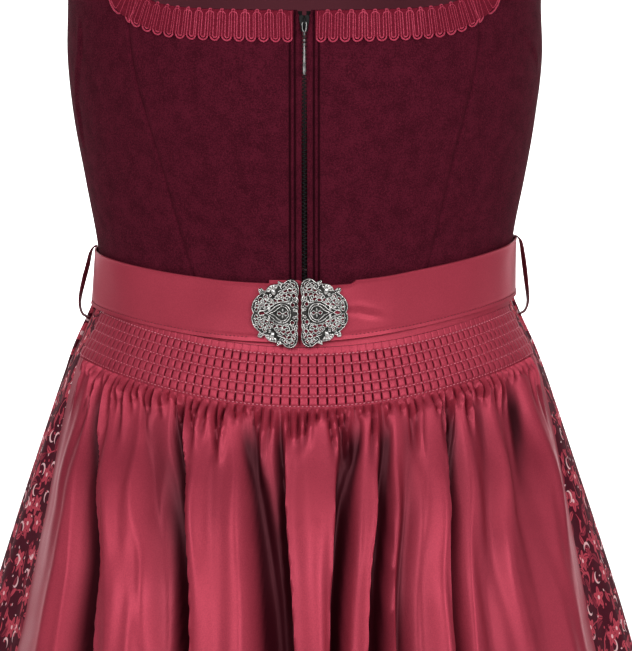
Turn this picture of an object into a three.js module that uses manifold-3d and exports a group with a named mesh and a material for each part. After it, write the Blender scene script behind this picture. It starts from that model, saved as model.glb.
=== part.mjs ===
// Dirndl: a sleeveless front-zip bodice, a gathered skirt, a smocked satin apron and a belt with a
// two-part filigree clasp. Millimetres, +Z up, front facing -Y, +X is the wearer's left.
// Heights in the tables count from the waist line; the origin lies between the straps at the shoulders.
import * as THREE from 'three';
import Module from 'manifold-3d';
import { mergeVertices } from 'three/addons/utils/BufferGeometryUtils.js';

const wasm = await Module();
wasm.setup();

// Driving dimensions
const SHOULDER_HEIGHT = 410;
const SEAM_GAP = 0.3;
const BODICE_WALL = 1.5;
const SKIRT_WALL = 1.8;
const LAYER_GAP = 0.5;
const TRIM_WIDTH = 17;
const TRIM_THICKNESS = 1;
const ZIP_GAP = 3.5;
const BELT_HEIGHT = 37.5;
const BELT_BOTTOM = -3.2;
const BELT_TILT = 3.8;
const BELT_OUT = 4.3;
const BELT_WALL = 1.2;
const BELT_LIFT = 1.5;
const FRONT_DIP = 11.5;
const SKIRT_HEM = -650;
const APRON_HEM = -600;
const APRON_WALL = 1.6;
const SMOCK_TOP = -3.5;
const SMOCK_ROW = 5.5;
const SMOCK_ROWS = 5;
const SMOCK_DIP = 14.2;
const SMOCK_DIP_PER_ROW = 0.6;
const SMOCK_LEAD = 4;
const SMOCK_TAIL = 1.1;
const SMOCK_ROLL = 1.2;
const WAISTBAND_HEIGHT = 16;

const TURN = Math.PI * 2;
const QUARTER = Math.PI / 2;
const degrees = THREE.MathUtils.degToRad;

// The body of the dress, from the hem to the shoulders: height above the waist, half width at the
// side, and depth to the front and to the back.
const SECTIONS = [
  { height: -650, side: 305, front: 258, back: 268 },
  { height: -400, side: 252, front: 208, back: 218 },
  { height: -250, side: 213, front: 174, back: 182 },
  { height: -150, side: 185, front: 149, back: 156 },
  { height: -84, side: 165, front: 128, back: 133 },
  { height: -44, side: 151.5, front: 113, back: 116 },
  { height: -14, side: 137.2, front: 101, back: 97 },
  { height: 4, side: 131.8, front: 96, back: 88 },
  { height: 36, side: 133.4, front: 99, back: 88 },
  { height: 76, side: 140.6, front: 110, back: 92 },
  { height: 116, side: 147.4, front: 121, back: 98 },
  { height: 155, side: 151.4, front: 127, back: 102 },
  { height: 198, side: 150.8, front: 123, back: 103 },
  { height: 250, side: 155, front: 108, back: 98 },
  { height: 310, side: 166, front: 84, back: 84 },
  { height: 360, side: 178, front: 56, back: 62 },
  { height: 392, side: 186, front: 28, back: 34 },
  { height: 406, side: 189, front: 9, back: 11 },
  { height: 410, side: 190, front: 0.3, back: 0.3 },
];
const TOP_LEVEL = SECTIONS.length - 1;
const BUST = { x: 62, height: 148, depth: 6, width: 42, reach: 48 };
const SHOULDER_SLOPE = { start: 300, inner: 98, rate: 0.3 };

// Seams and edges of the bodice as distance from the middle and height
const PRINCESS_SEAM = [
  { x: 63, height: -4 },
  { x: 75, height: 33 },
  { x: 93.5, height: 110 },
  { x: 108.5, height: 180 },
  { x: 107.5, height: 211 },
];
const PRINCESS_LEAN = 4;
const FRONT_EDGE = [
  { x: ZIP_GAP / 2, height: -7.5 },
  { x: ZIP_GAP / 2, height: 30 },
  { x: ZIP_GAP / 2, height: 110 },
  { x: ZIP_GAP / 2, height: 184 },
  { x: 5.4, height: 197.5 },
];
const SIDE_SEAM = [
  { side: 90, height: 4 },
  { side: 90, height: 36 },
  { side: 90, height: 105 },
  { side: 90, height: 160 },
  { side: 90, height: 195 },
];
const FRONT_NECK = [
  { x: 107.5, height: 211 },
  { x: 105.5, height: 240 },
  { x: 101.5, height: 300 },
  { x: 98.5, height: 360 },
  { x: 98, height: 398 },
  { x: 98, height: 410 },
];
const FRONT_ARMHOLE = [
  { side: 90, height: 195 },
  { x: 141, height: 238 },
  { x: 136, height: 296 },
  { x: 140, height: 358 },
  { x: 146, height: 396 },
  { x: 148, height: 410 },
];
const BACK_MIDDLE = [
  { x: 0, height: 4 },
  { x: 0, height: 40 },
  { x: 0, height: 150 },
  { x: 0, height: 250 },
  { x: 0, height: 326 },
];
const BACK_SEAM = [
  { x: 58, height: 4 },
  { x: 65, height: 40 },
  { x: 94, height: 150 },
  { x: 119, height: 215 },
  { x: 131, height: 246 },
];
const BACK_NECK = [
  { x: 0, height: 326 },
  { x: 48, height: 329 },
  { x: 80, height: 344 },
  { x: 95, height: 374 },
  { x: 98, height: 398 },
  { x: 98, height: 410 },
];
const BACK_ARMHOLE = [
  { x: 131, height: 246 },
  { x: 131, height: 290 },
  { x: 134, height: 330 },
  { x: 140, height: 372 },
  { x: 146, height: 397 },
  { x: 148, height: 410 },
];
const NECK_TRIM = [
  { x: 6.8, height: 197.5 },
  { x: 45, height: 197.5 },
  { x: 75, height: 198.2 },
  { x: 90, height: 200.5 },
  { x: 100, height: 204.5 },
  ...FRONT_NECK,
];

// Folds, by the direction they lie in, half width in degrees, how far they stand out in
// millimetres, and the height below the waist where they begin.
const APRON_FOLDS = [
  { at: -57, half: 7, depth: 7, start: -60 },
  { at: -47, half: 3.5, depth: 10, start: -70 },
  { at: -34, half: 7, depth: 13, start: -62 },
  { at: -15, half: 8, depth: 12, start: -62 },
  { at: 1, half: 6, depth: 11, start: -66 },
  { at: 10, half: 3.5, depth: 8, start: -66 },
  { at: 17, half: 2.8, depth: 7, start: -70 },
  { at: 23.5, half: 3.6, depth: 12, start: -62 },
  { at: 32, half: 4, depth: 11, start: -62 },
  { at: 45, half: 9, depth: 8, start: -66 },
  { at: 62, half: 7, depth: 4, start: -90 },
];
const SKIRT_FRONT_FOLDS = [
  { at: -80, half: 9, depth: 6, start: -60 },
  { at: -58, half: 11, depth: 7, start: -120 },
  { at: -34, half: 12, depth: 6, start: -140 },
  { at: -8, half: 13, depth: 7, start: -130 },
  { at: 20, half: 13, depth: 6, start: -140 },
  { at: 46, half: 12, depth: 7, start: -120 },
  { at: 80, half: 9, depth: 6, start: -60 },
];
const SKIRT_BACK_FOLDS = [
  { at: 104, half: 11, depth: 12, start: -20 },
  { at: 121, half: 9, depth: 17, start: -14 },
  { at: 139, half: 10, depth: 20, start: -12 },
  { at: 155, half: 8, depth: 16, start: -16 },
  { at: 172, half: 10, depth: 20, start: -12 },
  { at: 190, half: 9, depth: 18, start: -15 },
  { at: 206, half: 9, depth: 16, start: -12 },
  { at: 223, half: 10, depth: 20, start: -14 },
  { at: 240, half: 9, depth: 15, start: -16 },
  { at: 256, half: 10, depth: 12, start: -20 },
];
const FOLD_GROWTH = 260;
const APRON_LIFT = { near: 5, low: 6, middle: 120, end: 500 };
const APRON_EDGES = { left: -72, right: 76, hemLeft: -60, hemRight: 62 };

function spline(values, place) {
  const last = values.length - 1;
  const i = Math.min(Math.floor(place), last - 1);
  const part = place - i;
  const a = values[i];
  const b = values[i + 1];
  const before = i > 0 ? values[i - 1] : 2 * a - b;
  const after = i < last - 1 ? values[i + 2] : 2 * b - a;
  const square = part * part;
  const cube = square * part;
  const startSlope = (b - before) / 2;
  const endSlope = (after - a) / 2;
  return (2 * cube - 3 * square + 1) * a + (cube - 2 * square + part) * startSlope
    + (3 * square - 2 * cube) * b + (cube - square) * endSlope;
}

const COLUMNS = {
  height: SECTIONS.map((row) => row.height),
  side: SECTIONS.map((row) => row.side),
  front: SECTIONS.map((row) => row.front),
  back: SECTIONS.map((row) => row.back),
};

function levelAt(height) {
  let low = 0;
  let high = TOP_LEVEL;
  for (let step = 0; step < 40; step += 1) {
    const middle = (low + high) / 2;
    if (spline(COLUMNS.height, middle) > height) high = middle;
    else low = middle;
  }
  return (low + high) / 2;
}

function bump(distance, width) {
  return Math.exp(-((distance / width) ** 2));
}

// The inner face of the cloth at an angle round the body (0 is the front middle) and a level
function bodyPoint(angle, level) {
  const height = spline(COLUMNS.height, level);
  const x = spline(COLUMNS.side, level) * Math.sin(angle);
  const forward = Math.cos(angle);
  const depth = spline(forward > 0 ? COLUMNS.front : COLUMNS.back, level);
  const bust = forward > 0
    ? BUST.depth * forward * bump(Math.abs(x) - BUST.x, BUST.width) * bump(height - BUST.height, BUST.reach)
    : 0;
  const slope = THREE.MathUtils.smoothstep(height, SHOULDER_SLOPE.start, SHOULDER_HEIGHT);
  const drop = slope * SHOULDER_SLOPE.rate * Math.max(0, Math.abs(x) - SHOULDER_SLOPE.inner);
  return new THREE.Vector3(x, -depth * forward - bust, height - drop - SHOULDER_HEIGHT);
}

function bodyNormal(angle, level) {
  const step = 0.001;
  const lower = Math.max(0, level - step);
  const upper = Math.min(TOP_LEVEL, level + step);
  const along = bodyPoint(angle + step, level).sub(bodyPoint(angle - step, level));
  const up = bodyPoint(angle, upper).sub(bodyPoint(angle, lower));
  return along.cross(up).normalize();
}

function onBody(angle, height, out = 0) {
  const level = levelAt(height);
  return bodyPoint(angle, level).addScaledVector(bodyNormal(angle, level), out);
}

function angleAt(x, height, behind = false) {
  const front = Math.asin(Math.max(-1, Math.min(1, x / spline(COLUMNS.side, levelAt(height)))));
  return behind ? Math.PI - front : front;
}

function frontness(angle) {
  return Math.max(0, Math.cos(angle)) ** 3;
}

function waistSeam(angle) {
  return 4 - FRONT_DIP * frontness(angle);
}

// One closed wall of cloth: point(across, up, out) gives a place on it, for across and up from 0 to 1
function clothGeometry(point, columns, rows, inner, outer, openRows = 0) {
  const positions = [];
  const index = [];
  const width = columns + 1;
  const layer = width * (rows + 1);
  [inner, outer].forEach((out) => {
    for (let row = 0; row <= rows; row += 1) {
      for (let column = 0; column <= columns; column += 1) {
        const place = point(column / columns, row / rows, out);
        positions.push(place.x, place.y, place.z);
      }
    }
  });
  const quad = (a, b, c, d) => index.push(a, b, c, a, c, d);
  for (let row = 0; row < rows; row += 1) {
    for (let column = 0; column < columns; column += 1) {
      const a = row * width + column;
      quad(layer + a, layer + a + 1, layer + a + width + 1, layer + a + width);
      quad(a, a + width, a + width + 1, a + 1);
    }
  }
  for (let column = 0; column < columns; column += 1) {
    const top = rows * width + column;
    quad(column, column + 1, layer + column + 1, layer + column);
    quad(top + 1, top, layer + top, layer + top + 1);
  }
  for (let row = 0; row < rows; row += 1) {
    const start = row * width;
    const end = start + columns;
    if (row >= openRows) quad(start + width, start, layer + start, layer + start + width);
    quad(end, end + width, layer + end + width, layer + end);
  }
  const geometry = new THREE.BufferGeometry();
  geometry.setAttribute('position', new THREE.Float32BufferAttribute(positions, 3));
  geometry.setIndex(index);
  return geometry;
}

// Turns a closed shape's faces outward if they all face inward
function facingOut(geometry) {
  const position = geometry.getAttribute('position');
  const index = geometry.getIndex();
  const corner = (i) => new THREE.Vector3().fromBufferAttribute(position, index.getX(i));
  let volume = 0;
  for (let i = 0; i < index.count; i += 3) volume += corner(i).dot(corner(i + 1).cross(corner(i + 2)));
  for (let i = 0; volume < 0 && i < index.count; i += 3) {
    const first = index.getX(i);
    index.setX(i, index.getX(i + 2));
    index.setX(i + 2, first);
  }
  return geometry;
}

function mirrored(geometry) {
  const copy = geometry.clone();
  copy.scale(-1, 1, 1);
  return facingOut(copy);
}

// Two halves that meet on the middle plane become one piece
function withMirror(half) {
  const first = facingOut(half);
  const second = mirrored(half);
  const shift = first.getAttribute('position').count;
  const positions = [...first.getAttribute('position').array, ...second.getAttribute('position').array];
  const index = [...first.getIndex().array, ...Array.from(second.getIndex().array, (i) => i + shift)];
  const geometry = new THREE.BufferGeometry();
  geometry.setAttribute('position', new THREE.Float32BufferAttribute(positions, 3));
  geometry.setIndex(index);
  return mergeVertices(geometry, 0.001);
}

// A panel edge, as a function of the way up it. Each part of the edge is a curve of its own, so
// that corners stay sharp, and the clearance moves it sideways.
function edge(parts, { behind = false, lean = 0, clearance = 0 } = {}) {
  const curves = parts.map((rows) => ({
    heights: rows.map((row) => row.height),
    angles: rows.map((row) => (row.side
      ? degrees(row.side)
      : angleAt(row.x + lean * Math.max(0, 1 - row.height / BUST.height), row.height, behind))),
    spans: rows.length - 1,
  }));
  const spans = curves.reduce((sum, curve) => sum + curve.spans, 0);
  return (way) => {
    let place = way * spans;
    let curve = curves[0];
    curves.slice(1).forEach((next) => {
      if (place <= curve.spans || curve === next) return;
      place -= curve.spans;
      curve = next;
    });
    const height = spline(curve.heights, place);
    const angle = spline(curve.angles, place) + clearance / spline(COLUMNS.side, levelAt(height));
    return { angle, height };
  };
}

// A bodice panel is ruled between two edges; its foot follows the waist seam and its head may sweep up
const HEAD_POWER = 4;
const FOOT_FADE = 70;

function bodicePanel(inner, outer, { columns, rows, sweep = 1, openRows = 0 }) {
  const point = (across, up, out) => {
    const a = inner(up);
    const b = outer(up);
    const share = across ** (1 + (sweep - 1) * up ** HEAD_POWER);
    const angle = THREE.MathUtils.lerp(a.angle, b.angle, across);
    const ruled = THREE.MathUtils.lerp(a.height, b.height, share);
    const foot = THREE.MathUtils.lerp(inner(0).height, outer(0).height, across);
    const seam = waistSeam(angle) + SEAM_GAP / 2;
    const fade = 1 - THREE.MathUtils.smoothstep(ruled - foot, 0, FOOT_FADE);
    return onBody(angle, ruled + (seam - foot) * fade, out);
  };
  return clothGeometry(point, columns, rows, 0, BODICE_WALL, openRows);
}

// The place reached by walking over the body's surface in a direction
function walk(place, direction, distance) {
  const steps = 3;
  const reach = direction.clone().multiplyScalar(distance / steps);
  let { angle, height } = place;
  for (let step = 0; step < steps; step += 1) {
    const round = onBody(angle + 0.01, height).sub(onBody(angle - 0.01, height)).divideScalar(0.02);
    const upper = Math.min(SHOULDER_HEIGHT, height + 0.5);
    const up = onBody(angle, upper).sub(onBody(angle, height - 0.5)).divideScalar(upper - height + 0.5);
    const cross = round.dot(up);
    const scale = round.lengthSq() * up.lengthSq() - cross * cross;
    angle += (reach.dot(round) * up.lengthSq() - reach.dot(up) * cross) / scale;
    height += (reach.dot(up) * round.lengthSq() - reach.dot(round) * cross) / scale;
  }
  return { angle, height: Math.min(SHOULDER_HEIGHT, height) };
}

// A band of even width that lies on the bodice along an edge
const EDGE_STEP = 0.004;

function edgeBand(along, { width, turn, inner, columns, openRows = 0 }) {
  const point = (across, up, out) => {
    const place = along(across);
    const ahead = along(Math.min(1, across + EDGE_STEP));
    const behind = along(Math.max(0, across - EDGE_STEP));
    const tangent = onBody(ahead.angle, ahead.height).sub(onBody(behind.angle, behind.height));
    if (openRows && across === 0) tangent.set(1, 0, 0);
    const inward = tangent.cross(bodyNormal(place.angle, levelAt(place.height))).normalize();
    const reached = walk(place, inward.multiplyScalar(turn), width * up);
    return onBody(reached.angle, reached.height, out);
  };
  return clothGeometry(point, columns, 2, inner, inner + TRIM_THICKNESS, openRows);
}

// A part of each fold's depth is reached soon below its start
const FOLD_EARLY = { share: 0.35, reach: 30 };

function foldReach(folds, angle, height) {
  let reach = 0;
  folds.forEach((fold) => {
    const away = Math.abs(THREE.MathUtils.radToDeg(angle) - fold.at) / fold.half;
    if (away >= 1) return;
    const grown = THREE.MathUtils.smoothstep(fold.start - height, 0, FOLD_GROWTH);
    const early = FOLD_EARLY.share * THREE.MathUtils.smoothstep(fold.start - height, 0, FOLD_EARLY.reach);
    reach += fold.depth * Math.cos(away * QUARTER) ** 2 * (early + (1 - early) * grown);
  });
  return reach;
}

// A skirt panel from the waist seam to the hem, with its rows closest under the waist
const ROW_CROWDING = { skirt: 1.8, apron: 1.6 };

function skirtPanel(startAngle, endAngle, folds, columns) {
  const half = SEAM_GAP / 2;
  const point = (across, up, out) => {
    const angle = THREE.MathUtils.lerp(startAngle, endAngle, across);
    const top = waistSeam(angle) - half;
    const height = top + (SKIRT_HEM - top) * (1 - up) ** ROW_CROWDING.skirt;
    const level = levelAt(height);
    const side = THREE.MathUtils.lerp(half, -half, across) / spline(COLUMNS.side, level);
    const reach = foldReach(folds, angle, height);
    return bodyPoint(angle + side, level).addScaledVector(bodyNormal(angle, level), out + reach);
  };
  return clothGeometry(point, columns, 12, 0, SKIRT_WALL);
}

function beltBottom(angle) {
  return BELT_BOTTOM + BELT_TILT * Math.sin(angle) - FRONT_DIP * frontness(angle);
}

// The belt stands off more where the clasp and its under-tab lie; the bounds are cosines of the angle
const LIFT_BOUNDS = [0.86, 0.93];

function beltLift(angle) {
  return BELT_LIFT * THREE.MathUtils.smoothstep(Math.cos(angle), ...LIFT_BOUNDS);
}

// The belt is straight from its lower to its upper edge, so it stands off the hollow of the waist
function beltPoint(angle, up, out) {
  const bottom = beltBottom(angle);
  const top = bottom + BELT_HEIGHT + 2 * frontness(angle);
  return onBody(angle, bottom, out).lerp(onBody(angle, top, out), up);
}

function beltBand(startAngle, endAngle, columns, inner, wall, lift, low = 0, high = 1) {
  const point = (across, up, out) => {
    const angle = THREE.MathUtils.lerp(startAngle, endAngle, across);
    return beltPoint(angle, THREE.MathUtils.lerp(low, high, up), out + lift(angle));
  };
  return clothGeometry(point, columns, 1, inner, inner + wall);
}

function smockHeight(angle, row) {
  const top = SMOCK_TOP - SMOCK_ROW * row;
  return top - (SMOCK_DIP + SMOCK_DIP_PER_ROW * row) * frontness(angle);
}

const SMOCK_INNER = SKIRT_WALL + 1;
const SMOCK_WALL = 1.2;
const WAISTBAND_WALL = 1;
const SMOCK_START = SMOCK_LEAD / SMOCK_ROW;
const SMOCK_END = SMOCK_ROWS + SMOCK_START + SMOCK_TAIL / SMOCK_ROW;

// The apron's edges turn in fast below the smocking, then slowly down to the hem
const APRON_TURN = { start: -40, reach: 160, share: 0.7, power: 0.8 };

function apronAngle(across, height) {
  const way = THREE.MathUtils.clamp((APRON_TURN.start - height) / APRON_TURN.reach, 0, 1);
  const quick = way ** APRON_TURN.power;
  const slow = THREE.MathUtils.smoothstep(-height, -APRON_TURN.start, -APRON_HEM);
  const share = THREE.MathUtils.lerp(slow, quick, APRON_TURN.share);
  const left = THREE.MathUtils.lerp(APRON_EDGES.left, APRON_EDGES.hemLeft, share);
  const right = THREE.MathUtils.lerp(APRON_EDGES.right, APRON_EDGES.hemRight, share);
  return degrees(THREE.MathUtils.lerp(left, right, across));
}

// The waistband strip shows as a narrow line between the belt and the smocking
function apronWaistband() {
  const point = (across, up, out) => {
    const angle = apronAngle(across, 0);
    const bottom = smockHeight(angle, 0) + SEAM_GAP;
    return onBody(angle, bottom + WAISTBAND_HEIGHT * up, out);
  };
  return clothGeometry(point, 26, 2, SMOCK_INNER, SMOCK_INNER + WAISTBAND_WALL);
}

// Five rows of cells lie between six stitched rows; each row of cells is a shallow roll
function apronSmocking() {
  const point = (across, up, out) => {
    const angle = apronAngle(across, 0);
    const row = THREE.MathUtils.lerp(SMOCK_END, 0, up);
    const rolled = row > SMOCK_START && row < SMOCK_START + SMOCK_ROWS && out > SMOCK_INNER;
    const swell = rolled ? SMOCK_ROLL * Math.sin((row - SMOCK_START) * Math.PI) ** 2 : 0;
    return onBody(angle, smockHeight(angle, row), out + swell);
  };
  return clothGeometry(point, 18, 12, SMOCK_INNER, SMOCK_INNER + SMOCK_WALL);
}

function apronPanel() {
  const point = (across, up, out) => {
    const top = smockHeight(apronAngle(across, 0), SMOCK_END) - SEAM_GAP;
    const height = top + (APRON_HEM - top) * (1 - up) ** ROW_CROWDING.apron;
    const angle = apronAngle(across, height);
    const below = top - height;
    const near = APRON_LIFT.near * THREE.MathUtils.smoothstep(below, 0, APRON_LIFT.middle);
    const low = APRON_LIFT.low * THREE.MathUtils.smoothstep(below, APRON_LIFT.middle, APRON_LIFT.end);
    const lift = SMOCK_INNER + near + low;
    return onBody(angle, height, out + lift + foldReach(APRON_FOLDS, angle, height));
  };
  return clothGeometry(point, 48, 10, 0, APRON_WALL);
}

// A flat ribbon loop stands off the side seam and holds the belt
const LOOP_ROUTE = [
  { way: 0.02, bow: 0.9 },
  { way: 0.1, bow: 1.8 },
  { way: 0.35, bow: 3.6 },
  { way: 0.65, bow: 6.8 },
  { way: 0.85, bow: 8.4 },
  { way: 0.96, bow: 6 },
];

const LOOP = { thickness: 1, half: 2.4, above: 1.6, bottom: -14.5, tiltShare: 0.6, beltWay: 1.1 };
const LOOP_SEAT = { head: [3, 4], shoulder: [2, 2.6], start: 1, stand: 1.2, tuck: 0.6 };

function sideLoop(turn) {
  const { thickness, half } = LOOP;
  const tilt = BELT_TILT * turn;
  const top = BELT_BOTTOM + BELT_HEIGHT + tilt + LOOP.above;
  const bottom = LOOP.bottom + LOOP.tiltShare * tilt;
  const seat = (height, wall) => spline(COLUMNS.side, levelAt(height)) + wall + SEAM_GAP + thickness / 2;
  const beltFace = (way) => {
    const up = THREE.MathUtils.clamp(1 - way * LOOP.beltWay, 0, 1);
    return Math.abs(beltPoint(turn * QUARTER, up, BELT_OUT + BELT_WALL).x) + thickness / 2;
  };
  const { head, shoulder, start, stand, tuck } = LOOP_SEAT;
  const path = [
    new THREE.Vector2(seat(top + head[0], BODICE_WALL), top + head[1]),
    new THREE.Vector2(seat(top + shoulder[0], BODICE_WALL) + stand, top + shoulder[1]),
    ...LOOP_ROUTE.map((row) => new THREE.Vector2(
      beltFace(row.way) + row.bow,
      THREE.MathUtils.lerp(top + start, bottom, row.way),
    )),
    new THREE.Vector2(seat(bottom, SKIRT_WALL) + stand, bottom - tuck),
  ];
  const curve = new THREE.SplineCurve(path);
  const point = (across, up, out) => {
    const place = curve.getPoint(up);
    const tangent = curve.getTangent(up);
    const offset = out - thickness / 2;
    const x = place.x + tangent.y * offset;
    const height = place.y - tangent.x * offset;
    const depth = THREE.MathUtils.lerp(half, -half, across);
    return new THREE.Vector3(x, depth, height - SHOULDER_HEIGHT);
  };
  const geometry = clothGeometry(point, 1, 18, 0, thickness);
  return turn < 0 ? mirrored(geometry) : geometry;
}

// Joins and cuts
function solidOf(geometry) {
  const bare = geometry.index ? geometry.clone() : mergeVertices(geometry);
  bare.deleteAttribute('normal');
  bare.deleteAttribute('uv');
  const clean = mergeVertices(bare, 0.0005);
  return new wasm.Manifold(new wasm.Mesh({
    numProp: 3,
    vertProperties: new Float32Array(clean.getAttribute('position').array),
    triVerts: new Uint32Array(clean.getIndex().array),
  }));
}

function geometryOf(solid) {
  const mesh = solid.getMesh();
  const geometry = new THREE.BufferGeometry();
  geometry.setAttribute('position', new THREE.BufferAttribute(mesh.vertProperties, 3));
  geometry.setIndex(new THREE.BufferAttribute(mesh.triVerts, 1));
  return geometry;
}

function box(width, depth, height, x, y, z) {
  const geometry = new THREE.BoxGeometry(width, depth, height);
  geometry.translate(x, y, z);
  return solidOf(geometry);
}

function disc(radius, thickness, x, z, sides = 16) {
  const geometry = new THREE.CylinderGeometry(radius, radius, thickness, sides);
  geometry.translate(x, 0, z);
  return solidOf(geometry);
}

// A frame that lies on cloth: x across, y into the body, z up
function frameOn(origin, across, up) {
  const normal = across.clone().cross(up).normalize();
  const upright = up.clone().normalize();
  const matrix = new THREE.Matrix4().makeBasis(upright.clone().cross(normal), normal.clone().negate(), upright);
  return { matrix, normal, origin };
}

function placed({ matrix, normal, origin }, out) {
  return matrix.clone().setPosition(origin.clone().addScaledVector(normal, out));
}

// Zip slider: a front and a back plate on a neck, with a bridge for the pull tab
const SLIDER = {
  height: 189.5,
  width: 8,
  length: 11,
  plate: 1.4,
  backPlate: 1.2,
  neck: 1.1,
  neckLength: 4,
  neckHeight: 3,
  back: 6.4,
};
const BRIDGE = { axis: 1.7, bar: 0.7, reach: 4, width: 0.9, root: 0.4 };
const SLIDER_FACE = BODICE_WALL + 0.4 + SLIDER.plate;
const PULL = { eye: 5.6, length: 31, thickness: 1, pin: 0.45, side: 0.45 };

function sliderGeometry() {
  const front = box(SLIDER.width, SLIDER.plate, SLIDER.length, 0, SLIDER.plate / 2, 0);
  const back = box(SLIDER.width, SLIDER.backPlate, SLIDER.length, 0, SLIDER.back, 0);
  const neck = box(2 * SLIDER.neck, SLIDER.back, SLIDER.neckLength, 0, SLIDER.back / 2, SLIDER.neckHeight);
  const crown = -(BRIDGE.axis + PULL.pin + SEAM_GAP + BRIDGE.bar / 2);
  const bar = box(BRIDGE.width, BRIDGE.bar, 2 * BRIDGE.reach, 0, crown, 0);
  const legs = [-1, 1].map((end) => box(
    BRIDGE.width,
    BRIDGE.root - crown + BRIDGE.bar / 2,
    BRIDGE.width,
    0,
    (BRIDGE.root + crown - BRIDGE.bar / 2) / 2,
    end * (BRIDGE.reach - BRIDGE.width / 2),
  ));
  return geometryOf([back, neck, bar, ...legs].reduce((whole, piece) => whole.add(piece), front));
}

// Pull tab: a pin through the bridge, two side arms and a slim tab with a round foot
function pullGeometry() {
  const halfWidth = BRIDGE.width / 2 + SEAM_GAP + PULL.side;
  const pinShape = new THREE.CylinderGeometry(PULL.pin, PULL.pin, 2 * halfWidth, 10);
  pinShape.rotateZ(QUARTER);
  const arms = [-1, 1].map((end) => box(
    PULL.side,
    PULL.thickness,
    PULL.eye + 1,
    end * (halfWidth - PULL.side / 2),
    0,
    -(PULL.eye + 1) / 2 + PULL.pin,
  ));
  const tabLength = PULL.length - PULL.eye - halfWidth;
  const tab = box(2 * halfWidth, PULL.thickness, tabLength, 0, 0, -PULL.eye - tabLength / 2);
  const foot = disc(halfWidth, PULL.thickness, 0, -PULL.eye - tabLength, 16);
  return geometryOf([...arms, tab, foot].reduce((whole, piece) => whole.add(piece), solidOf(pinShape)));
}

// Filigree clasp: one half is a scalloped, pierced plate with raised studs
const CLASP = {
  x: -2.8,
  height: 4.2,
  thickness: 1.8,
  split: 0.35,
  out: BELT_OUT + BELT_WALL + BELT_LIFT + 1.4,
  reach: 60,
  studFlatness: 0.6,
};
const CLASP_LOBES = [
  { out: 5.4, up: 15.2, radius: 6.6 },
  { out: 13.6, up: 13.2, radius: 6.4 },
  { out: 21.2, up: 9.2, radius: 6 },
  { out: 24.4, up: 4, radius: 5.6 },
  { out: 9, up: 6, radius: 9 },
  { out: 17, up: 3, radius: 7 },
];
const CLASP_HOLES = [
  { out: 5.2, up: 16.4, radius: 2.1 },
  { out: 12.6, up: 14.6, radius: 1.9 },
  { out: 19.9, up: 11, radius: 1.7 },
  { out: 25, up: 5.2, radius: 1.9 },
  { out: 4.4, up: 10, radius: 1.7 },
  { out: 9.8, up: 9, radius: 2.2 },
  { out: 15.8, up: 7, radius: 2 },
  { out: 4, up: 4.2, radius: 1.6 },
  { out: 20.4, up: 3.4, radius: 1.5 },
  { out: 10.8, up: 2.7, radius: 1.4 },
];
const CLASP_STUDS = [
  { out: 16.6, up: 11.9, radius: 1.8 },
  { out: 15, up: 0, radius: 2.3 },
];

function claspGeometry() {
  const mirrorUp = [1, -1];
  const each = (rows, make) => rows.flatMap((row) => mirrorUp.map((turn) => make(row, turn * row.up)));
  const lobes = each(CLASP_LOBES, (row, up) => disc(row.radius, CLASP.thickness, row.out, up, 14));
  const holes = each(CLASP_HOLES, (row, up) => disc(row.radius, 3 * CLASP.thickness, row.out, up, 8));
  const studs = each(CLASP_STUDS, (row, up) => {
    const ball = new THREE.SphereGeometry(row.radius, 8, 4);
    ball.scale(1, CLASP.studFlatness, 1);
    ball.translate(row.out, -CLASP.thickness / 2, up);
    return solidOf(ball);
  });
  const half = box(CLASP.reach, CLASP.reach, CLASP.reach, CLASP.reach / 2 + CLASP.split, 0, 0);
  const plate = lobes.reduce((whole, piece) => whole.add(piece)).intersect(half);
  const pierced = holes.reduce((whole, piece) => whole.subtract(piece), plate);
  return geometryOf(studs.reduce((whole, piece) => whole.add(piece), pierced));
}

// Cloth strips behind the front edges: the tapes start beside the chain, whose crest lies between the edges
const ZIP = {
  start: 1.7,
  width: 9.3,
  chain: 2.7,
  foot: -6,
  head: 197,
  back: -2.1,
  front: -1.1,
  crest: 0.6,
  rows: 18,
};

function zipStrip(from, to, foot, head, inner, outer, rows) {
  const point = (across, up, out) => {
    const height = THREE.MathUtils.lerp(foot, head, up);
    return onBody(angleAt(THREE.MathUtils.lerp(from, to, across), height), height, out);
  };
  return clothGeometry(point, 1, rows, inner, outer);
}

const WOOL = { color: 0x45152a, roughness: 0.95, metalness: 0 };
const BRAID = { color: 0x8e2a42, roughness: 0.7, metalness: 0 };
const SATIN = { color: 0xa63c4c, roughness: 0.45, metalness: 0 };
const PRINT = { color: 0x551a2d, roughness: 0.75, metalness: 0 };
const BLACK = { color: 0x14100f, roughness: 0.6, metalness: 0 };
const SILVER = { color: 0x9a968f, roughness: 0.4, metalness: 1 };

const dirndl = new THREE.Group();

function addPiece(name, geometry, look, matrix = null) {
  facingOut(geometry);
  const mesh = new THREE.Mesh(geometry, new THREE.MeshStandardMaterial(look));
  mesh.name = name;
  geometry.computeVertexNormals();
  if (matrix) mesh.applyMatrix4(matrix);
  dirndl.add(mesh);
}

const GAP = SEAM_GAP / 2;
const SIDES = [
  { name: 'left', turn: -1 },
  { name: 'right', turn: 1 },
];

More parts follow.
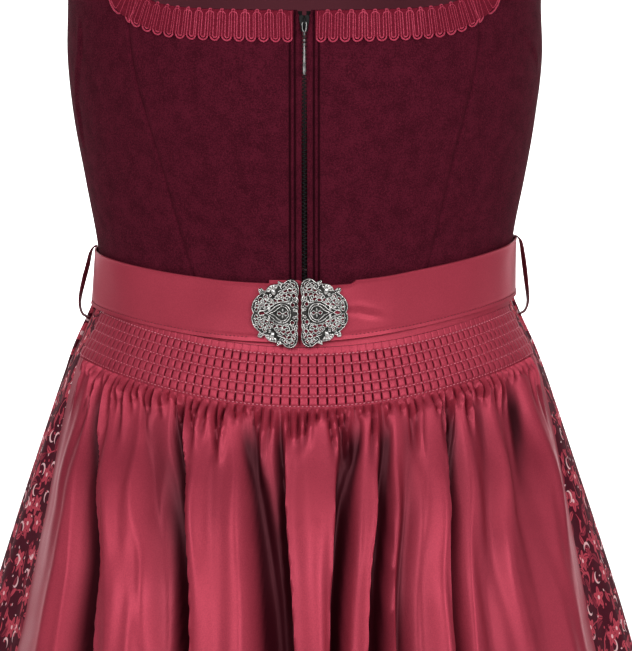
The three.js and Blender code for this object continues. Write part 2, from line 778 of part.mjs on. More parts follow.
function addBodice() {
  SIDES.forEach(({ name, turn }) => {
    const place = (geometry) => (turn < 0 ? mirrored(geometry) : geometry);
    const lean = turn * PRINCESS_LEAN;
    addPiece(`bodice_front_${name}`, place(bodicePanel(
      edge([FRONT_EDGE]),
      edge([PRINCESS_SEAM], { lean, clearance: -GAP }),
      { columns: 6, rows: 8, sweep: 8 },
    )), WOOL);
    addPiece(`bodice_side_front_${name}`, place(bodicePanel(
      edge([PRINCESS_SEAM, FRONT_NECK], { lean, clearance: GAP }),
      edge([SIDE_SEAM, FRONT_ARMHOLE], { clearance: -GAP }),
      { columns: 5, rows: 18 },
    )), WOOL);
    addPiece(`bodice_side_back_${name}`, place(bodicePanel(
      edge([SIDE_SEAM], { clearance: GAP }),
      edge([BACK_SEAM], { behind: true, clearance: -GAP }),
      { columns: 4, rows: 8, sweep: 2.5 },
    )), WOOL);
  });
  const middle = edge([BACK_MIDDLE, BACK_NECK], { behind: true });
  const seam = edge([BACK_SEAM, BACK_ARMHOLE], { behind: true, clearance: GAP });
  addPiece('bodice_back', withMirror(bodicePanel(middle, seam, { columns: 5, rows: 18, openRows: 8 })), WOOL);
}

function addTrim() {
  const inner = BODICE_WALL + LAYER_GAP;
  const front = edgeBand(edge([NECK_TRIM]), { width: TRIM_WIDTH, turn: 1, inner, columns: 20 });
  const back = edgeBand(
    edge([BACK_NECK], { behind: true }),
    { width: TRIM_WIDTH, turn: -1, inner, columns: 12, openRows: 2 },
  );
  addPiece('neck_trim_front_left', mirrored(front), BRAID);
  addPiece('neck_trim_front_right', front, BRAID);
  addPiece('neck_trim_back', withMirror(back), BRAID);
}

function addZip() {
  const { start, width, chain, foot, head, back, front, crest, rows } = ZIP;
  const tape = zipStrip(start, start + width, foot, head, back, front, rows);
  addPiece('zip_tape_left', mirrored(tape), BLACK);
  addPiece('zip_tape_right', tape, BLACK);
  const chainHead = SLIDER.height - SLIDER.length / 2 - SEAM_GAP;
  addPiece('zip_chain', zipStrip(-chain / 2, chain / 2, foot, chainHead, back, crest, rows), BLACK);
  const level = levelAt(SLIDER.height);
  const frame = frameOn(
    bodyPoint(0, level),
    new THREE.Vector3(1, 0, 0),
    bodyPoint(0, level + 0.01).sub(bodyPoint(0, level - 0.01)),
  );
  addPiece('zip_slider', sliderGeometry(), BLACK, placed(frame, SLIDER_FACE));
  addPiece('zip_pull', pullGeometry(), SILVER, placed(frame, SLIDER_FACE + BRIDGE.axis));
}

function addSkirt() {
  addPiece('skirt_front', skirtPanel(-QUARTER, QUARTER, SKIRT_FRONT_FOLDS, 26), PRINT);
  addPiece('skirt_back', skirtPanel(QUARTER, 3 * QUARTER, SKIRT_BACK_FOLDS, 36), PRINT);
}

function addApron() {
  addPiece('apron_waistband', apronWaistband(), SATIN);
  addPiece('apron_smocking', apronSmocking(), SATIN);
  addPiece('apron_panel', apronPanel(), SATIN);
}

const UNDER_TAB = { from: -34, to: 36, wall: 0.9, low: 0.1, high: 0.95 };
const CLASP_HALF_MIDDLE = 15;

function addBelt() {
  const claspAngle = (x) => angleAt(x, CLASP.height);
  const start = claspAngle(CLASP.x + 1);
  const end = claspAngle(CLASP.x - 1) + TURN;
  addPiece('belt', beltBand(start, end, 52, BELT_OUT, BELT_WALL, beltLift), SATIN);
  const { from, to, wall, low, high } = UNDER_TAB;
  const tab = beltBand(claspAngle(from), claspAngle(to), 8, BELT_OUT, wall, () => 0, low, high);
  addPiece('belt_under_tab', tab, SATIN);
  SIDES.forEach(({ name, turn }) => {
    const reach = CLASP_HALF_MIDDLE * turn;
    const angle = claspAngle(CLASP.x + reach);
    const lift = beltLift(angle);
    const frame = frameOn(
      beltPoint(angle, 0.5, lift),
      beltPoint(angle + 0.05, 0.5, lift).sub(beltPoint(angle - 0.05, 0.5, lift)),
      beltPoint(angle, 1, lift).sub(beltPoint(angle, 0, lift)),
    );
    const matrix = placed(frame, CLASP.out - BELT_LIFT);
    matrix.multiply(new THREE.Matrix4().makeTranslation(-reach, 0, 0));
    const half = claspGeometry();
    addPiece(`clasp_${name}`, turn < 0 ? mirrored(half) : half, SILVER, matrix);
    addPiece(`side_loop_${name}`, sideLoop(turn), SATIN);
  });
}

addBodice();
addTrim();
addZip();
addSkirt();
addApron();
addBelt();

export default dirndl;
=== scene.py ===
# Dirndl: felted wool bodice with a front zip, braid round the neck, gathered print skirt, smocked
# satin apron, and a satin belt with a two-part filigree clasp.
# Tables and formulas are in millimetres; heights count from the waist line, as in the CAD source.
import math

import bmesh
import bpy
import numpy as np
from mathutils import Matrix, Vector


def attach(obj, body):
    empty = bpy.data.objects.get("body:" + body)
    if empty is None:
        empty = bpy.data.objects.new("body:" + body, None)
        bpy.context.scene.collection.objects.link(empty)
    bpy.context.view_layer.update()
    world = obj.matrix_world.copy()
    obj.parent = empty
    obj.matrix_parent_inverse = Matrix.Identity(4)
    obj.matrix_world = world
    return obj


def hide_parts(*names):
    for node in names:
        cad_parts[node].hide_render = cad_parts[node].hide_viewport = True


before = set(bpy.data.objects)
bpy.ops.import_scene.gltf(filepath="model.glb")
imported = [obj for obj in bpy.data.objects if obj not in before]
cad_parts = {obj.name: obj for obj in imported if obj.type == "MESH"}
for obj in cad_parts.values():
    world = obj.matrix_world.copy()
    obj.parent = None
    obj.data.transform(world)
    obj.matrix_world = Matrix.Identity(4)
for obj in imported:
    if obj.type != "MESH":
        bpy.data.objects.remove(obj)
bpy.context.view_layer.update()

MM = 0.001
SHOULDER_HEIGHT = 410
BODICE_WALL = 1.5
SKIRT_WALL = 1.8
APRON_WALL = 1.6
BAND_HEIGHT = 16
LAYER_GAP = 0.5
SEAM_GAP = 0.3
TRIM_WIDTH = 17
ZIP_GAP = 3.5
BELT_HEIGHT = 37.5
BELT_BOTTOM = -3.2
BELT_TILT = 3.8
BELT_OUT = 4.3
BELT_WALL = 1.2
BELT_LIFT = 1.5
BELT_TOP_IN = 1.5
FRONT_DIP = 11.5
SKIRT_HEM = -650
APRON_HEM = -600
SMOCK_TOP = -3.5
SMOCK_ROW = 5.5
SMOCK_ROWS = 5
SMOCK_DIP = 14.2
SMOCK_DIP_PER_ROW = 0.6
SMOCK_LEAD = 4
SMOCK_TAIL = 1.1
SMOCK_INNER = SKIRT_WALL + 1
SMOCK_OUT = SMOCK_INNER + 1.2
SMOCK_CELLS = 69
SMOCK_CELL_WIDTH = 5.2
SMOCK_CELL_HEIGHT = 6.4
SMOCK_SLANT = 0.012
QUARTER = math.pi / 2
SMOOTH_CORNER = math.radians(70)
OTHER_SIDE = np.array([-1, 1, 1])

# Height above the waist, half width at the side, depth to the front and to the back
SECTIONS = np.array([
    (-650, 305, 258, 268),
    (-400, 252, 208, 218),
    (-250, 213, 174, 182),
    (-150, 185, 149, 156),
    (-84, 165, 128, 133),
    (-44, 151.5, 113, 116),
    (-14, 137.2, 101, 97),
    (4, 131.8, 96, 88),
    (36, 133.4, 99, 88),
    (76, 140.6, 110, 92),
    (116, 147.4, 121, 98),
    (155, 151.4, 127, 102),
    (198, 150.8, 123, 103),
    (250, 155, 108, 98),
    (310, 166, 84, 84),
    (360, 178, 56, 62),
    (392, 186, 28, 34),
    (406, 189, 9, 11),
    (410, 190, 0.3, 0.3),
])
TOP_LEVEL = len(SECTIONS) - 1
BUST_X = 62
BUST_HEIGHT = 148
BUST_DEPTH = 6
BUST_WIDTH = 42
BUST_REACH = 48
SHOULDER_SLOPE = 0.3
SLOPE_START = 300
SLOPE_INNER = 98

# Seams and edges of the bodice as distance from the middle and height; SIDE is the side seam
SIDE = None
PRINCESS_LEAN = 4
PRINCESS_SEAM = [(63, -4), (75, 33), (93.5, 110), (108.5, 180), (107.5, 211)]
FRONT_EDGE = [(ZIP_GAP / 2, -7.5), (ZIP_GAP / 2, 30), (ZIP_GAP / 2, 110), (ZIP_GAP / 2, 184), (5.4, 197.5)]
SIDE_SEAM = [(SIDE, 4), (SIDE, 36), (SIDE, 105), (SIDE, 160), (SIDE, 195)]
FRONT_NECK = [(107.5, 211), (105.5, 240), (101.5, 300), (98.5, 360), (98, 398), (98, 410)]
FRONT_ARMHOLE = [(SIDE, 195), (141, 238), (136, 296), (140, 358), (146, 396), (148, 410)]
BACK_MIDDLE = [(0, 4), (0, 40), (0, 150), (0, 250), (0, 326)]
BACK_SEAM = [(58, 4), (65, 40), (94, 150), (119, 215), (131, 246)]
BACK_NECK = [(0, 326), (48, 329), (80, 344), (95, 374), (98, 398), (98, 410)]
BACK_ARMHOLE = [(131, 246), (131, 290), (134, 330), (140, 372), (146, 397), (148, 410)]
NECK_TRIM = [(6.8, 197.5), (45, 197.5), (75, 198.2), (90, 200.5), (100, 204.5)] + FRONT_NECK

# Folds by direction and half width in degrees, how far they stand out, and where they begin
SKIRT_FRONT_FOLDS = [
    (-80, 9, 6, -60),
    (-58, 11, 7, -120),
    (-34, 12, 6, -140),
    (-8, 13, 7, -130),
    (20, 13, 6, -140),
    (46, 12, 7, -120),
    (80, 9, 6, -60),
]
SKIRT_BACK_FOLDS = [
    (104, 11, 12, -20),
    (121, 9, 17, -14),
    (139, 10, 20, -12),
    (155, 8, 16, -16),
    (172, 10, 20, -12),
    (190, 9, 18, -15),
    (206, 9, 16, -12),
    (223, 10, 20, -14),
    (240, 9, 15, -16),
    (256, 10, 12, -20),
]
FOLD_GROWTH = 260
FOLD_EARLY_SHARE = 0.35
FOLD_EARLY_END = 30
SKIRT_GATHERS = 46
HEM_STITCH_UP = 30

# The apron's folds from its left to its right edge: direction in degrees and height of the cloth
# at four levels, from just under the smocking to the hem.
FOLD_LEVELS = (-62, -108, -162, -600)
APRON_FOLDS = [
    ((-73, 3), (-72, 4), (-70, 5), (-62, 5)),
    ((-62, 5), (-62, 7), (-60, 7), (-54, 6)),
    ((-56, 6), (-53, 9), (-50.5, 10), (-48, 12)),
    ((-53.6, 1), (-49.6, -3), (-46.6, -5), (-44, 4)),
    ((-52.2, -2), (-46.8, -5), (-42.4, -7), (-40.5, 0)),
    ((-50.8, 6), (-45.7, 9), (-41.2, 11), (-38, 16)),
    ((-46, 8), (-42.5, 12), (-37.4, 14), (-32, 20)),
    ((-41, 4.5), (-39.3, 9.5), (-34, 12.8), (-29.5, 15)),
    ((-38.3, 6.5), (-36.3, 10.5), (-31.5, 11.5), (-27, 13)),
    ((-37.3, 3), (-32.3, 3.5), (-28, 5), (-25, 7)),
    ((-31.5, 4), (-28.0, 1), (-25.6, -3.5), (-22.8, 4)),
    ((-28, -1), (-25.0, -4), (-22.4, -7), (-20.5, 0)),
    ((-26.9, 6.5), (-24, 9), (-21.5, 10.5), (-18.5, 16)),
    ((-24.2, 7.5), (-22.2, 10.5), (-19.8, 12), (-15, 20)),
    ((-20, 5), (-18.4, 7.5), (-16.4, 10), (-12.5, 17)),
    ((-15.8, 7), (-13, 9.5), (-11.3, 11.5), (-10, 15)),
    ((-12.8, 0.5), (-10, -3), (-7.3, -6), (-7, 2)),
    ((-8, 5), (-6.4, 2.5), (-4.9, -2.5), (-4, 2)),
    ((-4.9, 0), (-4.3, -2.5), (-3.0, -5), (-2, 2)),
    ((-4, 6), (-3.5, 8), (-2.2, 9), (0, 12)),
    ((2, 7.5), (2.7, 10.5), (2.6, 12), (2.5, 20)),
    ((7, 6), (5.6, 9), (4.6, 9.5), (4.5, 16)),
    ((9.2, 1.5), (7.0, -1), (5.6, -4), (5.6, 6)),
    ((12.1, -2), (8.8, -4.5), (6.9, -6.5), (7, 0)),
    ((13.3, 6), (11.6, 7.5), (9.4, 8.5), (9.5, 12)),
    ((15, 7), (13.7, 9.5), (11.4, 11), (12, 18)),
    ((17.9, -2), (16.6, -3), (13.3, -5.5), (15.5, 3)),
    ((18.7, 0), (17.6, -1), (15.7, -4), (16.6, 5)),
    ((20, 6), (18.9, 7), (17.1, 7.5), (18, 12)),
    ((23.1, 2.5), (22, 3), (19.8, 1.5), (20.5, 9)),
    ((26.5, 6.5), (24.6, 7.5), (22.4, 7), (22.5, 15)),
    ((30, 7.5), (28, 11), (26, 13), (25, 22)),
    ((32.5, 6.5), (29.5, 10), (27.5, 12), (28, 17)),
    ((33.4, -2), (30.6, -5.5), (28.4, -7), (30.2, 0)),
    ((34.6, 1), (32.2, -2), (29.9, -4.5), (31.8, 5)),
    ((37.5, 6.5), (35.8, 8), (33.1, 10), (35.5, 14)),
    ((42.7, 2.5), (41.1, 4.5), (38, 6.5), (39.5, 9)),
    ((46.5, 6.5), (44.8, 8.5), (43, 8.8), (44, 10)),
    ((50.5, 4), (49, 5), (48, 7), (48, 8)),
    ((54.4, -1), (51.8, 3.8), (51, 7.8), (50.5, 9)),
    ((60.5, 7.5), (58.5, 9.5), (56, 10.5), (54, 12)),
    ((68, 5.5), (67, 7), (64.5, 7.5), (58, 8)),
    ((77, 4), (76, 5), (73, 6), (64, 6)),
]
APRON_EDGES = (-72, 76)
APRON_HEM_EDGES = (-60, 62)
APRON_TURN_START = -40
APRON_TURN_REACH = 160
APRON_TURN_SHARE = 0.7
APRON_NEAR = 8
APRON_NEAR_END = 120
APRON_LOW = 6
APRON_LOW_END = 500
APRON_OUT = 1.2
APRON_LEAST_OUT = 0.7
APRON_REST = 1.6
LEFT_EDGE_END = 0.075
RIGHT_EDGE_START = 0.93
# Folds higher than FOLD_LEVEL swell and lean outwards, and the panel hangs in towards the middle
FOLD_LEVEL = 3
FOLD_SWELL = 1.45
OUTWARD_LEAN = 0.45
HANG = 0.135
EDGE_HANG = 0.3
# Cloth lower than these heights gets painted shade in its colour, fully down in a valley and partly on
# a slope, and so do the gathers under the smocking
VALLEY_HEIGHT = 5.6
SLOPE_HEIGHT = 11.5
SLOPE_SHADE = 0.3
GATHER_SHADE = 0.7


def smooth(value, low, high):
    share = np.clip((np.asarray(value, float) - low) / (high - low), 0, 1)
    return share * share * (3 - 2 * share)


def bump(distance, width):
    return np.exp(-((np.asarray(distance, float) / width) ** 2))


def chance(number, salt=0.0):
    """An even spread of values from 0 to 1, the same in each run."""
    value = np.sin(np.asarray(number, float) * 12.9898 + salt * 78.233) * 43758.5453
    return value - np.floor(value)


def varied(number, salt, least, spread, power=1):
    """A value of each number's own, between least and least + spread."""
    return least + spread * chance(number, salt) ** power


def sway(number, salt, width=1.0):
    """A value of each number's own, up to half a width to either side of 0."""
    return width * (chance(number, salt) - 0.5)


def lerp(start, end, share):
    return start + (end - start) * share


def spline(values, place):
    values = np.asarray(values, float)
    last = len(values) - 1
    place = np.asarray(place, float)
    i = np.clip(np.floor(place).astype(int), 0, last - 1)
    part = place - i
    start = values[i]
    end = values[i + 1]
    before = np.where(i > 0, values[np.maximum(i - 1, 0)], 2 * start - end)
    after = np.where(i < last - 1, values[np.minimum(i + 2, last)], 2 * end - start)
    square = part * part
    cube = square * part
    start_slope = (end - before) / 2
    end_slope = (after - start) / 2
    return (
        (2 * cube - 3 * square + 1) * start
        + (cube - 2 * square + part) * start_slope
        + (3 * square - 2 * cube) * end
        + (cube - square) * end_slope
    )


FINE_LEVELS = np.linspace(0, TOP_LEVEL, 9001)
FINE_HEIGHTS = spline(SECTIONS[:, 0], FINE_LEVELS)


def level_at(height):
    return np.interp(height, FINE_HEIGHTS, FINE_LEVELS)


def half_width(height):
    return spline(SECTIONS[:, 1], level_at(height))


def body_point(angle, level):
    """The inner face of the cloth at an angle round the body (0 is the front middle) and a level."""
    height = spline(SECTIONS[:, 0], level)
    x = spline(SECTIONS[:, 1], level) * np.sin(angle)
    forward = np.cos(angle)
    front = spline(SECTIONS[:, 2], level)
    back = spline(SECTIONS[:, 3], level)
    depth = np.where(forward > 0, front, back)
    bust = BUST_DEPTH * bump(np.abs(x) - BUST_X, BUST_WIDTH) * bump(height - BUST_HEIGHT, BUST_REACH)
    slope = smooth(height, SLOPE_START, SHOULDER_HEIGHT) * SHOULDER_SLOPE
    drop = slope * np.maximum(0, np.abs(x) - SLOPE_INNER)
    y = -depth * forward - bust * np.maximum(0, forward)
    return np.stack(np.broadcast_arrays(x, y, height - drop - SHOULDER_HEIGHT), axis=-1)


def unit(vectors):
    return vectors / np.linalg.norm(vectors, axis=-1, keepdims=True)


def body_normal(angle, level):
    step = 0.001
    lower = np.maximum(0, level - step)
    upper = np.minimum(TOP_LEVEL, level + step)
    along = body_point(angle + step, level) - body_point(angle - step, level)
    rise = body_point(angle, upper) - body_point(angle, lower)
    return unit(np.cross(along, rise))


def on_body(angle, height, out=0.0):
    level = level_at(height)
    out = np.asarray(out, float)[..., None]
    return body_point(angle, level) + body_normal(angle, level) * out


def angle_at(x, height, behind=False):
    front = np.arcsin(np.clip(x / half_width(height), -1, 1))
    return math.pi - front if behind else front


def frontness(angle):
    return np.maximum(0, np.cos(angle)) ** 3


def waist_seam(angle):
    return 4 - FRONT_DIP * frontness(angle)


def edge(*parts, behind=False, lean=0.0):
    """A panel edge: gives the angle and height on it for a way from 0 to 1."""
    curves = []
    for rows in parts:
        heights = np.array([row[1] for row in rows], float)
        angles = []
        for x, height in rows:
            if x is SIDE:
                angles.append(QUARTER)
            else:
                angles.append(float(angle_at(x + lean * max(0, 1 - height / BUST_HEIGHT), height, behind)))
        curves.append((heights, np.array(angles)))
    spans = sum(len(heights) - 1 for heights, angles in curves)

    def at(way):
        place = np.asarray(way, float) * spans
        angle = np.zeros_like(place)
        height = np.zeros_like(place)
        start = 0
        for heights, angles in curves:
            span = len(heights) - 1
            here = (place > start) | (start == 0)
            local = np.clip(place - start, 0, span)
            angle = np.where(here, spline(angles, local), angle)
            height = np.where(here, spline(heights, local), height)
            start += span
        return angle, height

    return at


def walk(angle, height, direction, distance):
    """The place reached by walking over the body's surface in a direction."""
    steps = 3
    reach = direction * (np.asarray(distance, float)[..., None] / steps)
    for _ in range(steps):
        around = (on_body(angle + 0.01, height) - on_body(angle - 0.01, height)) / 0.02
        upper = np.minimum(SHOULDER_HEIGHT, height + 0.5)
        rise = (on_body(angle, upper) - on_body(angle, height - 0.5)) / (upper - height + 0.5)[..., None]
        cross = np.sum(around * rise, axis=-1)
        around_square = np.sum(around * around, axis=-1)
        rise_square = np.sum(rise * rise, axis=-1)
        scale = around_square * rise_square - cross * cross
        to_around = np.sum(reach * around, axis=-1)
        to_rise = np.sum(reach * rise, axis=-1)
        angle = angle + (to_around * rise_square - to_rise * cross) / scale
        height = height + (to_rise * around_square - to_around * cross) / scale
    return angle, np.minimum(SHOULDER_HEIGHT, height)


def even_stops(count):
    return np.linspace(0, 1, count + 1)


# ---------------------------------------------------------------- making pieces

def add_object(name, mesh, finishes):
    piece = bpy.data.objects.new(name, mesh)
    bpy.context.scene.collection.objects.link(piece)
    for finish in finishes:
        mesh.materials.append(finish)
    return piece


def settle(piece):
    """Makes the modifiers part of the mesh."""
    graph = bpy.context.evaluated_depsgraph_get()
    done = bpy.data.meshes.new_from_object(piece.evaluated_get(graph))
    piece.modifiers.clear()
    piece.data = done
    return piece


def cloth(name, surface, columns, rows, wall, finishes, mirror=False):
    """A wall of cloth: surface(across, up) gives its outer face, its place in the pattern and any painted
    shade.
    """
    columns = np.asarray(columns, float)
    rows = np.asarray(rows, float)
    grid = bmesh.new()
    grid.loops.layers.uv.new("Cloth")
    bmesh.ops.create_grid(
        grid, x_segments=len(columns) - 1, y_segments=len(rows) - 1, size=0.5, calc_uvs=True
    )
    mesh = bpy.data.meshes.new(name)
    grid.to_mesh(mesh)
    grid.free()
    places = np.empty(len(mesh.vertices) * 3)
    mesh.vertices.foreach_get("co", places)
    places = places.reshape(-1, 3) + 0.5
    across = np.interp(places[:, 0], np.linspace(0, 1, len(columns)), columns)
    up = np.interp(places[:, 1], np.linspace(0, 1, len(rows)), rows)
    points, pattern, *shade = surface(across, up)
    # A third value is painted shade, kept on the points for the finishes to darken the colour with
    if shade:
        painted_shade = mesh.attributes.new("PaintedShade", "FLOAT", "POINT")
        painted_shade.data.foreach_set("value", shade[0])
    if mirror:
        points = points * OTHER_SIDE
    mesh.vertices.foreach_set("co", (points * MM).ravel())
    owner = np.empty(len(mesh.loops), int)
    mesh.loops.foreach_get("vertex_index", owner)
    mesh.uv_layers[0].data.foreach_set("uv", (np.asarray(pattern) * MM)[owner].ravel())
    if mirror:
        mesh.flip_normals()
    mesh.polygons.foreach_set("use_smooth", np.ones(len(mesh.polygons), bool))
    mesh.update()
    piece = add_object(name, mesh, finishes)
    shell = piece.modifiers.new("wall", "SOLIDIFY")
    shell.thickness = wall * MM
    shell.offset = -1
    if len(finishes) > 1:
        shell.material_offset = 1
        shell.material_offset_rim = 0
    settle(piece)
    piece.data.set_sharp_from_angle(angle=SMOOTH_CORNER)
    return piece


def add_run(curve, points, closed):
    """Adds one run of a curve, through points in millimetres."""
    points = np.asarray(points, float)
    run = curve.splines.new("POLY")
    run.points.add(len(points) - 1)
    places = np.zeros((len(points), 4))
    places[:, :points.shape[1]] = points * MM
    places[:, 3] = 1
    run.points.foreach_set("co", places.ravel())
    run.use_cyclic_u = closed


def mesh_of_curve(name, curve):
    """The mesh that a curve gives; the curve itself is removed."""
    shaped = bpy.data.objects.new(name + "_line", curve)
    bpy.context.scene.collection.objects.link(shaped)
    bpy.context.view_layer.update()
    graph = bpy.context.evaluated_depsgraph_get()
    mesh = bpy.data.meshes.new_from_object(shaped.evaluated_get(graph))
    bpy.data.objects.remove(shaped)
    bpy.data.curves.remove(curve)
    mesh.name = name
    mesh.materials.clear()
    return mesh


def cords(name, runs, radius, finish, sides=6, closed=False):
    """Round cords along runs of points in millimetres, joined in one mesh."""
    curve = bpy.data.curves.new(name, "CURVE")
    curve.dimensions = "3D"
    curve.bevel_depth = radius * MM
    curve.bevel_resolution = (sides - 4) // 2
    curve.use_fill_caps = not closed
    for run in runs:
        add_run(curve, run, closed)
    mesh = mesh_of_curve(name, curve)
    mesh.polygons.foreach_set("use_smooth", np.ones(len(mesh.polygons), bool))
    return add_object(name, mesh, [finish])


def place_matrix(point, tangent, normal, scale=(1, 1, 1)):
    """Stands a shape on a surface: x along the tangent, z along the normal."""
    x = Vector(tangent).normalized()
    z = Vector(normal).normalized()
    y = z.cross(x).normalized()
    z = x.cross(y)
    turn = Matrix((x, y, z)).transposed().to_4x4()
    size = Matrix.Diagonal((*scale, 1))
    return Matrix.Translation(Vector(point) * MM) @ turn @ size


def smooth_piece(name, shape, finish):
    """Makes a piece of a bmesh, with smooth faces."""
    for face in shape.faces:
        face.smooth = True
    mesh = bpy.data.meshes.new(name)
    shape.to_mesh(mesh)
    shape.free()
    return add_object(name, mesh, [finish])


def knobs(name, spots, finish, detail=2):
    """Stitches or beads: each spot is a point, a tangent, a normal and three half sizes."""
    shape = bmesh.new()
    for point, tangent, normal, halves in spots:
        matrix = place_matrix(point, tangent, normal, [half * MM for half in halves])
        bmesh.ops.create_icosphere(shape, subdivisions=detail, radius=1, matrix=matrix)
    return smooth_piece(name, shape, finish)


def stitch_line(points, normals, pitch, length, width):
    """Spots for stitches set at an even pitch along a line of points."""
    steps = np.linalg.norm(np.diff(points, axis=0), axis=1)
    run = np.concatenate([[0], np.cumsum(steps)])
    halves = (length / 2, width / 2, width / 2)

    def at(rows, place):
        return np.array([np.interp(place, run, rows[:, k]) for k in range(3)])

    spots = []
    for place in np.arange(pitch / 2, run[-1], pitch):
        along = at(points, place + 0.5) - at(points, place - 0.5)
        spots.append((at(points, place), along, at(normals, place), halves))
    return spots


# ---------------------------------------------------------------- finishes

class Socket:
    """A node's output, written in sums as a number is."""

    def __init__(self, finish, socket):
        self.finish = finish
        self.socket = socket

    def __add__(self, other):
        return self.finish.math("ADD", self, other)

    __radd__ = __add__

    def __mul__(self, other):
        return self.finish.math("MULTIPLY", self, other)

    __rmul__ = __mul__

    def __sub__(self, other):
        return self.finish.math("SUBTRACT", self, other)

    def __rsub__(self, other):
        return self.finish.math("SUBTRACT", other, self)

    def __truediv__(self, other):
        return self.finish.math("DIVIDE", self, other)

    def __lt__(self, other):
        return self.finish.math("LESS_THAN", self, other)

    def __gt__(self, other):
        return self.finish.math("GREATER_THAN", self, other)

    def __abs__(self):
        return self.finish.math("ABSOLUTE", self)


class Finish:
    """A material and the nodes that it is made of."""

    def __init__(self, name, **values):
        self.material = bpy.data.materials.new(name)
        self.material.use_nodes = True
        self.tree = self.material.node_tree
        self.shader = self.tree.nodes["Principled BSDF"]
        for socket, value in values.items():
            self.shader.inputs[socket.replace("_", " ")].default_value = value

    def node(self, kind, settings=None, values=None, output=0):
        made = self.tree.nodes.new(kind)
        for name, value in (settings or {}).items():
            setattr(made, name, value)
        for key, value in (values or {}).items():
            self.join(made.inputs[key], value)
        return Socket(self, made.outputs[output])

    def join(self, socket, value):
        if isinstance(value, Socket):
            self.tree.links.new(value.socket, socket)
        elif socket.type == "RGBA" and len(value) == 3:
            socket.default_value = (*value, 1)
        else:
            socket.default_value = value

    def give(self, name, value):
        self.join(self.shader.inputs[name], value)

    def math(self, operation, *values):
        return self.node("ShaderNodeMath", {"operation": operation}, dict(enumerate(values)))

    def mix(self, share, start, end):
        return self.node("ShaderNodeMix", {"data_type": "RGBA"}, {0: share, 6: start, 7: end}, 2)

    def between(self, value, low, high, start=0.0, end=1.0):
        settings = {"interpolation_type": "SMOOTHSTEP"}
        return self.node("ShaderNodeMapRange", settings, {0: value, 1: low, 2: high, 3: start, 4: end})

    def place(self):
        return self.node("ShaderNodeTexCoord", output="Object")

    def pattern(self):
        return self.node("ShaderNodeUVMap", {"uv_map": "Cloth"})

    def painted_shade(self):
        """How much painted shade a place gets in the piece's own folds and seams, from 0 to 1."""
        return self.node("ShaderNodeAttribute", {"attribute_name": "PaintedShade"}, output=2)

    def moved(self, place, scale=(1, 1, 1), turn=(0, 0, 0), shift=(0, 0, 0)):
        values = {"Vector": place, "Scale": scale, "Rotation": turn, "Location": shift}
        return self.node("ShaderNodeMapping", None, values)

    def noise(self, place, scale, detail=2.0, roughness=0.5):
        values = {"Vector": place, "Scale": scale, "Detail": detail, "Roughness": roughness}
        return self.node("ShaderNodeTexNoise", None, values, "Fac")

    def split(self, vector, part):
        return self.node("ShaderNodeSeparateXYZ", None, {0: vector}, part)

    def vector(self, operation, *values, output=0):
        return self.node("ShaderNodeVectorMath", {"operation": operation}, dict(enumerate(values)), output)

    def raised(self, height, distance):
        return self.node("ShaderNodeBump", None, {"Height": height, "Distance": distance})


def color(red, green, blue):
    """A colour in the shader's own values, from its values as they look on a screen."""
    shades = [value / 255 for value in (red, green, blue)]
    return tuple(value / 12.92 if value <= 0.04045 else ((value + 0.055) / 1.055) ** 2.4 for value in shades)


# How far the painted shade darkens the satin's colour
PAINTED_SHADE_STRENGTH = 0.94


def wool_finish():
    wool = Finish("felted_wool", Roughness=0.95, Specular_IOR_Level=0.06)
    place = wool.place()
    flecks = wool.noise(place, 1150, 3, 0.65)
    clouds = wool.noise(place, 110, 2, 0.5)
    fibres = wool.noise(wool.moved(place, (1, 1, 0.45)), 2600, 2, 0.6)
    tone = wool.between(flecks * 0.75 + clouds * 0.25, 0.36, 0.64)
    base = wool.mix(tone, color(60, 12, 25), color(92, 24, 42))
    pale = wool.between(wool.noise(place, 640, 2, 0.5), 0.66, 0.76)
    base = wool.mix(pale * 0.4, base, color(126, 42, 60))
    # Painted shade: darkens the wool's colour along its seams and the grooves beside the zip
    base = wool.mix(wool.painted_shade(), base, color(24, 3, 9))
    wool.give("Base Color", base)
    wool.give("Normal", wool.raised(flecks * 0.6 + fibres * 0.4, 0.00045))
    wool.give("Sheen Weight", 0.03)
    wool.give("Sheen Roughness", 0.5)
    wool.give("Sheen Tint", (*color(170, 60, 84), 1))
    return wool.material


def lining_finish():
    lining = Finish("cotton_lining", Roughness=0.85, Specular_IOR_Level=0.3)
    pattern = lining.pattern()
    weave = lining.noise(lining.moved(pattern, (1, 3, 1)), 1800, 2, 0.5)
    base = lining.mix(weave, color(96, 40, 52), color(116, 52, 64))
    lining.give("Base Color", base)
    lining.give("Normal", lining.raised(weave, 0.0001))
    return lining.material


def satin_finish(name, deep, bright, painted_shade=None):
    satin = Finish(name, Roughness=0.42, Specular_IOR_Level=0.3, Metallic=0.28)
    place = satin.place()
    yarns = satin.noise(satin.moved(place, (1, 1, 0.25)), 3800, 2, 0.6)
    clouds = satin.noise(place, 24, 2, 0.5)
    specks = satin.noise(place, 1300, 1, 0.5)
    tone = satin.between(yarns * 0.2 + clouds * 0.35 + specks * 0.45, 0.36, 0.64)
    base = satin.mix(tone, deep, bright)
    # Painted shade: darkens the satin's colour down in its folds, slits and gathers
    if painted_shade:
        base = satin.mix(satin.painted_shade() * PAINTED_SHADE_STRENGTH, base, painted_shade)
    satin.give("Base Color", base)
    satin.give("Roughness", satin.between(clouds, 0.3, 0.7, 0.37, 0.46))
    satin.give("Normal", satin.raised(yarns, 0.00004))
    satin.give("Anisotropic", 0.35)
    satin.give("Specular Tint", (*color(250, 178, 190), 1))
    return satin.material


def thread_finish(name, deep, bright):
    thread = Finish(name, Roughness=0.45, Specular_IOR_Level=0.4)
    ply = thread.noise(thread.place(), 1700, 1, 0.5)
    thread.give("Base Color", thread.mix(ply, deep, bright))
    return thread.material


